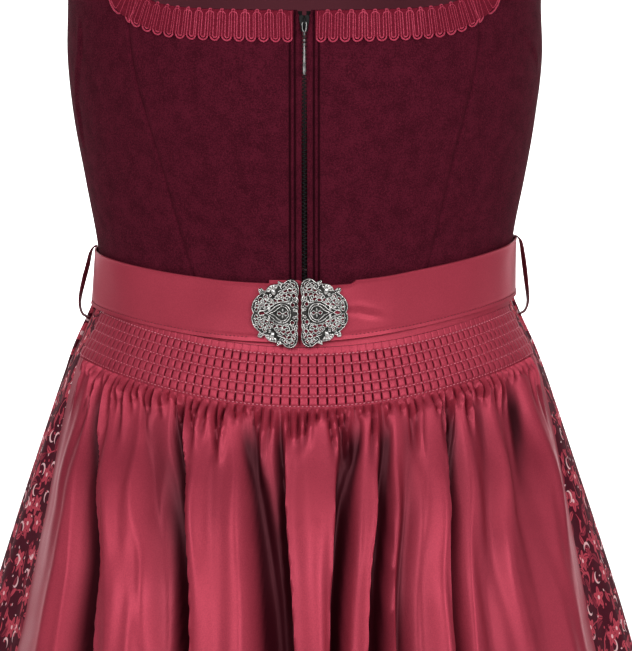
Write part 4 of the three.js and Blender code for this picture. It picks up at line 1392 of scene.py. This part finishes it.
def make_zip():
    for side, mirror in (("left", True), ("right", False)):
        name = f"zip_tape_cloth_{side}"
        tape = cloth(name, tape_surface, even_stops(3), even_stops(40), 0.9, [TAPE], mirror)
        declare(tape, [f"zip_tape_{side}"])
        sheet(tape, 0.0103, 0.208, "stretched")
    teeth = bmesh.new()
    for k, height in enumerate(np.arange(ZIP_FOOT, SLIDER_HEIGHT - 6, TOOTH_PITCH)):
        turn = 1 if k % 2 else -1
        angle = angle_at(TOOTH_SIDE * turn, height)
        normal = body_normal(angle, level_at(height))
        size = [length * MM for length in TOOTH_SIZE]
        matrix = place_matrix(on_body(angle, height, TOOTH_OUT), (1, 0, 0.25 * turn), normal, size)
        bmesh.ops.create_cube(teeth, size=1, matrix=matrix)
    bmesh.ops.bevel(teeth, geom=list(teeth.edges), offset=TOOTH_ROUNDING * MM, offset_type="OFFSET",
                    segments=2, profile=0.5, affect="EDGES", material=-1)
    declare(smooth_piece("zip_teeth", teeth, COIL), ["zip_chain"])


# ---------------------------------------------------------------- belt

def belt_bottom(angle):
    return BELT_BOTTOM + BELT_TILT * np.sin(angle) - FRONT_DIP * frontness(angle)


def belt_lift(angle):
    return BELT_LIFT * smooth(np.cos(angle), 0.86, 0.93)


def belt_point(angle, up, out):
    bottom = belt_bottom(angle)
    top = bottom + BELT_HEIGHT + 2 * frontness(angle)
    return lerp(on_body(angle, bottom, out), on_body(angle, top, out), np.asarray(up)[..., None])


CLASP_X = -2.8
CLASP_HEIGHT = 4.2
BELT_STITCH_UP = 2.6
BELT_STITCH_IN = 0.12
TAB_START = -21.5
TAB_END = 36
TAB_OUT = 0.9
# A soft crease runs slantwise over the belt at this distance from the middle
BELT_CREASE_X = 38
BELT_CREASE_SLANT = 0.36


def belt_ends():
    """The angles between which the belt runs round the body, starting behind the clasp."""
    start = float(angle_at(CLASP_X + 1, CLASP_HEIGHT))
    return start, float(angle_at(CLASP_X - 1, CLASP_HEIGHT)) + 2 * math.pi


def belt_surface(across, up):
    """The belt: rolled edges, a stitched groove, a slanting crease, a doubled end and soft waves."""
    angle = lerp(*belt_ends(), across)
    from_low = up * BELT_HEIGHT
    from_top = (1 - up) * BELT_HEIGHT
    relief = 0.35 * bump(from_low, 1.3) + 0.35 * bump(from_top, 1.0)
    relief -= 0.4 * bump(from_low - BELT_STITCH_UP, 0.7)

    # the distance from the middle in front, and far off behind, where nothing of this shows
    x = 140 * np.sin(angle) + 500 * (np.cos(angle) < 0)
    slanted = (up - 0.42) * BELT_HEIGHT + BELT_CREASE_SLANT * (x - 37)
    from_crease = x - BELT_CREASE_X
    beside = 0.3 * bump(slanted - 4, 2.4) * bump(from_crease, 9)
    relief -= 0.9 * bump(slanted, 1.9) * bump(from_crease, 8) - beside
    doubled = (x > 0) * (1 - smooth(x, 30, 33.5)) * (x < 300)
    relief += 0.35 * doubled
    up = up * (1 - 0.055 * doubled)
    across_belt = np.sin(up * 3.1)
    relief += 0.5 * np.sin(angle * 7 + 1) * across_belt + 0.25 * np.sin(angle * 17) * across_belt
    out = BELT_OUT + BELT_WALL + belt_lift(angle) + relief - BELT_TOP_IN * up
    return belt_point(angle, up, out), np.stack([across * 850, up * BELT_HEIGHT], axis=-1)


def belt_stitch_spots():
    angle = lerp(*belt_ends(), np.linspace(0.035, 0.965, 1600))
    out = BELT_OUT + BELT_WALL + belt_lift(angle) - BELT_STITCH_IN
    points = belt_point(angle, BELT_STITCH_UP / BELT_HEIGHT, out)
    normals = body_normal(angle, level_at(belt_bottom(angle)))
    return stitch_line(points, normals, 2.6, 1.7, 0.62)


def tab_surface(across, up):
    """The under-tab: the belt's own cloth behind the clasp, a little higher on its left."""
    angle = lerp(angle_at(TAB_START, CLASP_HEIGHT), angle_at(TAB_END, CLASP_HEIGHT), across)
    head = 1.055 - 0.11 * smooth(across, 0.3, 0.42)
    points = belt_point(angle, lerp(0.1, head, up), BELT_OUT + TAB_OUT)
    return points, np.stack([across * 58, up * BELT_HEIGHT], axis=-1)


def make_belt():
    belt = cloth("belt_cloth", belt_surface, even_stops(420), even_stops(26), BELT_WALL, [BELT_SATIN])
    declare(belt, ["belt"])
    sewn = declare(knobs("belt_stitches", belt_stitch_spots(), BELT_THREAD, 1))
    sheet(belt, 0.76, 0.0365, "stretched", with_pieces=[sewn])
    tab = cloth("belt_tab_cloth", tab_surface, even_stops(40), even_stops(10), 0.9, [BELT_SATIN])
    declare(tab, ["belt_under_tab"])
    sheet(tab, 0.062, 0.035, "stretched")


# ---------------------------------------------------------------- clasp

CLASP_OUT = BELT_OUT + BELT_WALL + BELT_LIFT + 1.4
CLASP_HALF_MIDDLE = 15
CLASP_REACH_OVER = 0.85
# The upper half of the plate's outline: distance from the gap and height above the clasp's middle
CLASP_OUTLINE = [
    (0.35, 0), (0.9, 1.6), (0.45, 3.6), (1.0, 6), (0.5, 8.6), (1.1, 10.8), (0.5, 13), (0.5, 16.4),
    (1.7, 19.8), (4.4, 21.6), (7.6, 21.2), (9.8, 19.4), (11.4, 19.6), (13.6, 20.4), (13.1, 18.6),
    (14.6, 18.3), (17.6, 17.9), (20.2, 16.2), (21.4, 13.9), (22.8, 14.4), (24.2, 15.6), (25.9, 14.8),
    (25.3, 12.9), (24.4, 12.4), (26.6, 10.6), (28.9, 7.8), (30, 4.6), (30, 2.2), (29, 0),
]
# Pierced holes: distance, height, half length, half width and turn in degrees
CLASP_HOLES = [
    (4.4, 18.2, 1.3, 0.8, 30),
    (7.9, 17.7, 1.2, 0.8, -40),
    (3.0, 14.8, 1.2, 0.9, 80),
    (6.0, 14.8, 1.1, 0.9, 20),
    (9.0, 14.4, 1.3, 0.8, -30),
    (3.6, 11.5, 1.1, 0.9, 60),
    (6.7, 11.6, 1.2, 0.8, 30),
    (9.8, 11.2, 1.2, 0.9, 0),
    (12.8, 10.9, 1.1, 0.8, 20),
    (9.0, 8.6, 1.1, 0.7, 20),
    (12.2, 8.0, 1.2, 0.7, -10),
    (15.5, 8.1, 1.1, 0.8, 10),
    (18.6, 8.4, 1.1, 0.8, 0),
    (21.5, 10.4, 1.2, 0.8, -40),
    (21.6, 7.6, 1.0, 0.8, -20),
    (24.6, 8.4, 1.2, 0.8, -50),
    (17.4, 5.5, 1.1, 0.7, -15),
    (20.6, 5.0, 1.1, 0.7, -15),
    (23.6, 5.2, 1.0, 0.8, -30),
    (26.6, 5.0, 1.1, 0.7, -70),
    (27.0, 2.2, 0.9, 0.6, -80),
    (4.2, 5.6, 1.0, 1.0, 0),
]
CLASP_MIDDLE_HOLES = [(8.4, 0, 1.1, 0.9, 0), (12.5, 0, 1.1, 0.9, 0), (23.6, 0, 2.0, 1.0, 0)]
# Raised scrolls: distance, height, largest radius, turns, starting angle in degrees, and hand
CLASP_SCROLLS = [
    (5.6, 16.6, 3.6, 1.4, 200, 1),
    (9.8, 16.4, 2.4, 1.3, 60, -1),
    (3.2, 9.0, 1.9, 1.4, 120, 1),
    (7.6, 9.8, 2.3, 1.3, 300, -1),
    (11.6, 12.6, 2.0, 1.3, 30, 1),
    (14.0, 9.6, 1.9, 1.3, 160, -1),
    (17.2, 7.2, 1.9, 1.3, 330, 1),
    (20.2, 9.2, 1.9, 1.3, 100, -1),
    (23.2, 7.0, 2.2, 1.4, 220, 1),
    (24.2, 13.6, 1.5, 1.3, 270, -1),
    (26.8, 6.2, 1.9, 1.3, 20, 1),
    (24.6, 3.2, 1.6, 1.2, 190, -1),
    (12.2, 18.4, 1.3, 1.1, 250, 1),
    (18.6, 2.0, 0.9, 1.1, 200, 1),
    (3.0, 2.6, 1.3, 1.2, 160, 1),
    (7.2, 7.4, 1.3, 1.2, 20, -1),
    (10.8, 9.9, 1.1, 1.1, 120, 1),
    (18.4, 11.0, 1.1, 1.1, 60, 1),
    (21.6, 3.2, 1.0, 1.1, 120, -1),
    (19.2, 3.6, 1.4, 1.2, 20, 1),
]
# Three raised lines round the rosette
CLASP_FRAME = [(21.2, 0), (18, 1.6), (14.6, 4.6), (11, 5.9), (7.8, 5), (5.8, 2.4), (5.3, 0)]
CLASP_FRAME_OUTER = [(25.2, 1.5), (21.4, 2.0), (17.4, 4.6), (13.4, 6.9), (9.6, 7.2), (6.4, 6.2), (4.6, 7.8)]
CLASP_FRAME_INNER = [(18.6, 0), (15.4, 1.4), (12.9, 3.6), (10.6, 4.5), (8.4, 3.8), (6.9, 1.8), (6.5, 0)]
# Beads: distance, height and radius
CLASP_BEADS = [(1.9, 1.6, 0.75), (1.9, 4.2, 0.6), (2.0, 7.4, 0.6), (2.0, 12.8, 0.6), (11.4, 5.2, 0.6),
               (15.6, 4.0, 0.55), (22.4, 12.4, 0.6), (28.2, 3.6, 0.55), (26.4, 9.6, 0.55), (6.0, 20.2, 0.55)]
# A shell with five rays near the top, and a rosette of six petals in the middle
SHELL = (16.6, 13.6)
SHELL_TURN = 65
SHELL_REACH = 3.1
ROSETTE = 10.4
ROSETTE_REACH = 2.0
# Heights over the plate's middle of the rim, the rings round the holes, and the scrolls' ends and middles
RIM_UP = 0.75
RING_UP = 0.66
RING_GROWTH = 0.24
SCROLL_UP = 0.75
SCROLL_ARCH = 0.35
BEAD_UP = 0.7
SHELL_UP = 0.6


def round_route(stops, count):
    """A smooth run of points through given stops."""
    stops = np.asarray(stops, float)
    place = np.linspace(0, len(stops) - 1, count)
    return np.stack([spline(stops[:, k], place) for k in range(2)], axis=-1)


def oval(out, up, half_length, half_width, turn):
    angle = np.linspace(0, 2 * math.pi, 14, endpoint=False)
    lean = math.radians(turn)
    x = half_length * np.cos(angle)
    y = half_width * np.sin(angle)
    return np.stack([out + x * math.cos(lean) - y * math.sin(lean),
                     up + x * math.sin(lean) + y * math.cos(lean)], axis=-1)


def scroll(out, up, radius, turns, start, hand):
    """A line that winds in towards the scroll's eye."""
    share = np.linspace(0, 1, 26)
    angle = math.radians(start) + hand * share * turns * 2 * math.pi
    reach = radius * (1 - 0.8 * share ** 0.8)
    return np.stack([out + reach * np.cos(angle), up + reach * np.sin(angle)], axis=-1)


def flipped(run):
    return run * np.array([1, -1])


def clasp_frame(turn):
    """The place of one half: its origin in the gap, and its directions across, out of and up the plate.

    The flat layout of a half reaches a little over towards the other half at the gap."""
    reach = CLASP_HALF_MIDDLE * turn
    angle = angle_at(CLASP_X + reach, CLASP_HEIGHT)
    lift = belt_lift(angle)
    across = belt_point(angle + 0.05, 0.5, lift) - belt_point(angle - 0.05, 0.5, lift)
    rise = unit(belt_point(angle, 1, lift) - belt_point(angle, 0, lift))
    normal = unit(np.cross(across, rise))
    across = np.cross(rise, normal)
    shift = normal * (CLASP_OUT - BELT_LIFT) - across * (reach + CLASP_REACH_OVER * turn)
    return belt_point(angle, 0.5, lift) + shift, across * turn, normal, rise


def on_frame(frame_here, run, out):
    """Places a flat run of points on a frame, at a height out of its plane."""
    origin, across, normal, rise = frame_here
    run = np.asarray(run, float)
    return origin + run[:, :1] * across + run[:, 1:2] * rise + normal * np.asarray(out, float).reshape(-1, 1)


def pierced_plate(name, outline, holes, frame_here, finish, thickness=1.0, rounding=0.18):
    """A flat plate with rounded rims, cut from a filled outline and its holes."""
    curve = bpy.data.curves.new(name, "CURVE")
    curve.dimensions = "2D"
    curve.fill_mode = "BOTH"
    curve.extrude = (thickness / 2 - rounding) * MM
    curve.bevel_depth = rounding * MM
    curve.bevel_resolution = 1
    curve.offset = -0.8 * rounding * MM
    for run in [outline, *holes]:
        add_run(curve, run, True)
    mesh = mesh_of_curve(name, curve)
    origin, across, normal, rise = frame_here
    columns = Matrix((Vector(across), Vector(rise), Vector(normal))).transposed().to_4x4()
    mesh.transform(Matrix.Translation(Vector(origin) * MM) @ columns)
    welded = bmesh.new()
    welded.from_mesh(mesh)
    bmesh.ops.remove_doubles(welded, verts=welded.verts, dist=0.00001)
    bmesh.ops.recalc_face_normals(welded, faces=welded.faces)
    welded.to_mesh(mesh)
    welded.free()
    return add_object(name, mesh, [finish])


def clasp_layout():
    """The flat layout of a half: its outline, rim, holes, and the rows of its holes as cut."""
    upper = round_route(CLASP_OUTLINE, 150)
    lower = flipped(upper)[::-1]
    rows = [(out, up, 1.12 * long, 1.2 * short, lean) for out, up, long, short, lean in CLASP_HOLES]
    holes = [oval(*row) for row in rows]
    holes += [flipped(hole) for hole in holes]
    holes += [oval(*row) for row in CLASP_MIDDLE_HOLES]
    rim = np.concatenate([upper, lower])
    middle = rim.mean(axis=0)
    outline = np.concatenate([upper, lower[1:-1]])
    return outline, middle + (rim - middle) * 0.975, holes, rows + CLASP_MIDDLE_HOLES


def mirrored_up(half, run, out, has_twin=True):
    """A flat run on a half of the clasp and, unless it lies in the middle, its twin below."""
    return [on_frame(half, twin, out) for twin in ([run, flipped(run)] if has_twin else [run])]


def bead_spots(half, out, up, halves, lean=0.0, height=BEAD_UP):
    """A bead on a half of the clasp and, unless it lies in the middle, its twin below."""
    across, normal, rise = half[1:]
    spots = []
    for mirror in (1, -1) if up else (1,):
        turn = math.radians(lean) * mirror
        tangent = across * math.cos(turn) + rise * math.sin(turn)
        spots.append((on_frame(half, [(out, up * mirror)], height)[0], tangent, normal, halves))
    return spots


def clasp_beads(half):
    spots = []
    for out, up, radius in CLASP_BEADS:
        spots += bead_spots(half, out, up, (radius, radius, radius * 0.9))
    spots += bead_spots(half, *SHELL, (2.6, 1.5, 1.3), 75, SHELL_UP)
    for k in range(5):
        turn = SHELL_TURN + (k - 2) * 30
        out = SHELL[0] + SHELL_REACH * math.cos(math.radians(turn))
        up = SHELL[1] + SHELL_REACH * math.sin(math.radians(turn))
        spots += bead_spots(half, out, up, (1.5, 0.75, 0.7), turn, SHELL_UP)
    for k in range(6):
        turn = 60 * k + 30
        out = ROSETTE + ROSETTE_REACH * math.cos(math.radians(turn))
        up = ROSETTE_REACH * math.sin(math.radians(turn))
        spots += bead_spots(half, out, up, (1.2, 0.6, 0.6), turn)
    return spots + bead_spots(half, ROSETTE, 0, (0.8, 0.8, 0.9), 0, 0.9)


def make_clasp():
    outline, rim, holes, rows = clasp_layout()
    frames = [round_route(stops, 26) for stops in (CLASP_FRAME, CLASP_FRAME_INNER, CLASP_FRAME_OUTER)]
    for side, turn in (("left", -1), ("right", 1)):
        half = clasp_frame(turn)
        plate = pierced_plate(f"clasp_plate_{side}", outline, holes, half, OLD_SILVER)
        declare(plate, [f"clasp_{side}"])
        rims = [on_frame(half, rim, RIM_UP)]
        for out, up, long, short, lean in rows:
            ring = oval(out, up, long + RING_GROWTH, short + RING_GROWTH, lean)
            rims += mirrored_up(half, ring, RING_UP, up != 0)
        declare(cords(f"clasp_rims_{side}", rims, 0.27, SILVER, closed=True))
        lines = []
        for run in [scroll(*row) for row in CLASP_SCROLLS] + frames:
            arch = SCROLL_UP + SCROLL_ARCH * np.sin(np.linspace(0, math.pi, len(run)))
            lines += mirrored_up(half, run, arch)
        declare(cords(f"clasp_scrolls_{side}", lines, 0.31, SILVER))
        declare(knobs(f"clasp_beads_{side}", clasp_beads(half), SILVER))


# ---------------------------------------------------------------- slider and pull

PULL_HINGE = (0, -129.79, -219.64)
SLIDER_OUTLINE = [(-3.1, 4.4), (-1.8, 5.0), (0, 4.4), (1.8, 5.0), (3.1, 4.4), (3.0, 1.2), (2.3, -2.2),
                  (2.1, -5.2), (-2.1, -5.2), (-2.3, -2.2), (-3.0, 1.2)]
NECK_OUTLINE = [(-0.9, 4.2), (0.9, 4.2), (0.9, 1), (-0.9, 1)]
BLADE_OUTLINE = [(-0.4, -14), (0.4, -14), (0.52, -17), (0.56, -22), (0.74, -26), (0.8, -30), (0.5, -31.6),
                 (0, -32), (-0.5, -31.6), (-0.8, -30), (-0.74, -26), (-0.56, -22), (-0.52, -17)]
# The slider's plates and the neck between them: outline and its scale, height over the chain,
# thickness, rounding, and the node that a plate replaces
SLIDER_PARTS = {
    "slider_plate": (SLIDER_OUTLINE, 1, 2.8, 1.2, 0.3, ["zip_slider"]),
    "slider_back": (SLIDER_OUTLINE, 0.95, -2.6, 1.0, 0.25, []),
    "slider_neck": (NECK_OUTLINE, 1, 0.1, 4.6, 0.2, []),
}
RING_STOPS = [(-1.15, 0.3), (-1.25, -2), (-1.0, -4.2), (-0.55, -5.6), (0.55, -5.6), (1.0, -4.2),
              (1.25, -2), (1.15, 0.3)]
STEM_STOPS = [(0, -5.6), (0, -10), (0, -14.2)]
PIN_STOPS = [(-1.2, 0.2), (1.2, 0.2)]
STEM_BEADS = (-7, -10.7, -13.2)


def slider_frame(out, origin=None):
    """The place of the slider: an origin over the chain, across, out of the cloth and up the chain."""
    up = unit(on_body(0.0, SLIDER_HEIGHT + 3) - on_body(0.0, SLIDER_HEIGHT - 3))
    across = np.array([1.0, 0, 0])
    normal = unit(np.cross(across, up))
    if origin is None:
        origin = on_body(0.0, SLIDER_HEIGHT)
    return origin + normal * out, across, normal, up


def make_slider():
    for name, (outline, scale, out, thickness, rounding, nodes) in SLIDER_PARTS.items():
        plan = np.array(outline, float) * scale
        part = pierced_plate(name, plan, [], slider_frame(out), COIL, thickness, rounding)
        declare(part, nodes)
    turn = np.linspace(0, math.pi, 15)
    arch = np.stack([0 * turn, 3.8 * np.cos(turn) + 0.4], axis=-1)
    bridge = on_frame(slider_frame(3.3), arch, 2.6 * np.sin(turn))
    declare(cords("slider_bridge", [bridge], 0.5, COIL, 8))


def make_pull():
    """The pull, on its own body: a ring on the slider's bridge, a beaded stem and a blade."""
    hinge = slider_frame(0, np.array(PULL_HINGE, float))
    ring = on_frame(hinge, round_route(RING_STOPS, 22), 0)
    pin = on_frame(hinge, PIN_STOPS, 0)
    stem = on_frame(hinge, STEM_STOPS, 0)
    declare(cords("pull_ring", [ring, pin], 0.42, PULL_SILVER, 8), ["zip_pull"], "pull_tab")
    declare(cords("pull_stem", [stem], 0.4, OLD_SILVER, 8), (), "pull_tab")
    blade = pierced_plate("pull_blade", BLADE_OUTLINE, [], hinge, PULL_SILVER, 1.0, 0.3)
    declare(blade, (), "pull_tab")
    spots = [(on_frame(hinge, [(0, height)], 0)[0], hinge[1], hinge[2], (0.85, 1.05, 0.8))
             for height in STEM_BEADS]
    declare(knobs("pull_beads", spots, PULL_SILVER), (), "pull_tab")


# ---------------------------------------------------------------- side loops

# The ribbon's way from the bodice over the belt and back to the skirt: distance from the middle
# and height, from its upper to its lower end
LOOP_ROUTES = {
    "left": [(135.4, 32.2), (137.6, 31.2), (139.6, 27.5), (141.6, 19), (144, 10), (146.3, 0), (146.9, -7),
             (145.6, -12.2), (143, -14.4), (140.2, -15)],
    "right": [(135.4, 38.6), (138, 38.2), (140.4, 35), (142, 26), (143.6, 14), (145, 2), (145.4, -5),
              (144, -9.9), (141.8, -12), (139.4, -12.6)],
}
LOOP_THICKNESS = 1
LOOP_HALF = 2.4
LOOP_TWIST = 1.1


def make_loops():
    for side, route in LOOP_ROUTES.items():
        path = np.array(route)

        def surface(across, up):
            place = up * (len(path) - 1)
            x = spline(path[:, 0], place)
            z = spline(path[:, 1], place)
            x_slope = spline(path[:, 0], place + 0.01) - spline(path[:, 0], place - 0.01)
            z_slope = spline(path[:, 1], place + 0.01) - spline(path[:, 1], place - 0.01)
            length = np.hypot(x_slope, z_slope)
            x = x - z_slope / length * LOOP_THICKNESS / 2
            z = z + x_slope / length * LOOP_THICKNESS / 2
            x = x + LOOP_TWIST * (2 * across - 1) * bump(up - 0.4, 0.24)
            points = np.stack([x, lerp(LOOP_HALF, -LOOP_HALF, across), z - SHOULDER_HEIGHT], axis=-1)
            return points, np.stack([across * 5, up * 60], axis=-1)

        loop = cloth(f"belt_loop_cloth_{side}", surface, even_stops(6), even_stops(60), LOOP_THICKNESS,
                     [RIBBON], side == "left")
        declare(loop, [f"side_loop_{side}"])


# ---------------------------------------------------------------- studio

# The studio, in metres: a paper floor that curves up into a wall behind the dress
FLOOR_HEIGHT = -1.25
FLOOR_START = -9.0
FLOOR_END = 8.4
FLOOR_HALF_WIDTH = 14
WALL_CURVE = 1.6
WALL_HEIGHT = 8.0
DRESS_MIDDLE = (0, 0, -0.43)
# Lights: azimuth, elevation, distance, width, height, power in watts, and what each is aimed at
LIGHTS = {
    "key_left": (-24, 26, 2.8, 1.0, 1.2, 27, DRESS_MIDDLE),
    "key_right": (26, 22, 2.8, 1.0, 1.2, 28, DRESS_MIDDLE),
    "soft_left": (-68, 16, 2.8, 1.0, 2.0, 6, DRESS_MIDDLE),
    "soft_right": (68, 16, 2.8, 1.0, 2.0, 7, DRESS_MIDDLE),
    "back_left": (-150, 20, 3.0, 1.6, 2.4, 9, DRESS_MIDDLE),
    "back_right": (150, 20, 3.0, 1.6, 2.4, 9, DRESS_MIDDLE),
    "paper_light_near": (0, 45, 3.4, 8, 1.5, 260, (0, 4.6, -0.8)),
    "paper_light_far": (0, 42, 4.4, 8, 2, 520, (0, 8.4, -1.1)),
}
SKY_STRENGTH = 0.14


def make_stage():
    stage = bmesh.new()
    profile = [(FLOOR_START, 0.0), (FLOOR_END, 0.0)]
    for turn in np.linspace(0.1, QUARTER, 12):
        profile.append((FLOOR_END + math.sin(turn) * WALL_CURVE, WALL_CURVE - math.cos(turn) * WALL_CURVE))
    profile.append((FLOOR_END + WALL_CURVE, WALL_HEIGHT))
    corners = [stage.verts.new((-FLOOR_HALF_WIDTH, y, z + FLOOR_HEIGHT)) for y, z in profile]
    edges = [stage.edges.new(pair) for pair in zip(corners, corners[1:])]
    swept = bmesh.ops.extrude_edge_only(stage, edges=edges)
    moved = [item for item in swept["geom"] if isinstance(item, bmesh.types.BMVert)]
    bmesh.ops.translate(stage, verts=moved, vec=(2 * FLOOR_HALF_WIDTH, 0, 0))
    bmesh.ops.recalc_face_normals(stage, faces=stage.faces)
    paper = Finish("studio_paper", Roughness=0.9, Specular_IOR_Level=0.1)
    paper.give("Base Color", (0.93, 0.93, 0.93, 1))
    smooth_piece("studio_floor", stage, paper.material)


def area_light(name, azimuth, elevation, distance, width, height, power, target):
    data = bpy.data.lights.new(name, "AREA")
    data.shape = "RECTANGLE"
    data.size = width
    data.size_y = height
    data.energy = power
    light = bpy.data.objects.new(name, data)
    turn = math.radians(azimuth)
    rise = math.radians(elevation)
    way = Vector((math.sin(turn) * math.cos(rise), -math.cos(turn) * math.cos(rise), math.sin(rise)))
    light.location = Vector(target) + way * distance
    light.rotation_euler = (-way).to_track_quat("-Z", "Y").to_euler()
    bpy.context.scene.collection.objects.link(light)


def make_studio():
    make_stage()
    for name, values in LIGHTS.items():
        area_light(name, *values)
    world = bpy.data.worlds.new("studio")
    world.use_nodes = True
    sky = world.node_tree.nodes["Background"]
    sky.inputs["Color"].default_value = (1, 1, 1, 1)
    sky.inputs["Strength"].default_value = SKY_STRENGTH
    bpy.context.scene.world = world
    bpy.context.scene.view_settings.view_transform = "Standard"


CAMERA_TARGET = (0.0072, 0, -0.4308)
CAMERA_ELEVATION = 10
CAMERA_DISTANCE = 2.6
CAMERA_LENS = 220
SENSOR_WIDTH = 36
VIEW_END = 60


def make_camera():
    data = bpy.data.cameras.new("camera")
    data.lens = CAMERA_LENS
    data.sensor_width = SENSOR_WIDTH
    data.clip_end = VIEW_END
    camera = bpy.data.objects.new("camera", data)
    rise = math.radians(CAMERA_ELEVATION)
    away = Vector((0, -math.cos(rise), math.sin(rise))) * CAMERA_DISTANCE
    camera.location = Vector(CAMERA_TARGET) + away
    camera.rotation_euler = (QUARTER - rise, 0, 0)
    bpy.context.scene.collection.objects.link(camera)
    bpy.context.scene.camera = camera


make_camera()
make_studio()
make_skirt()
make_apron()
make_bodice()
make_braid()
make_zip()
make_slider()
make_pull()
make_belt()
make_clasp()
make_loops()
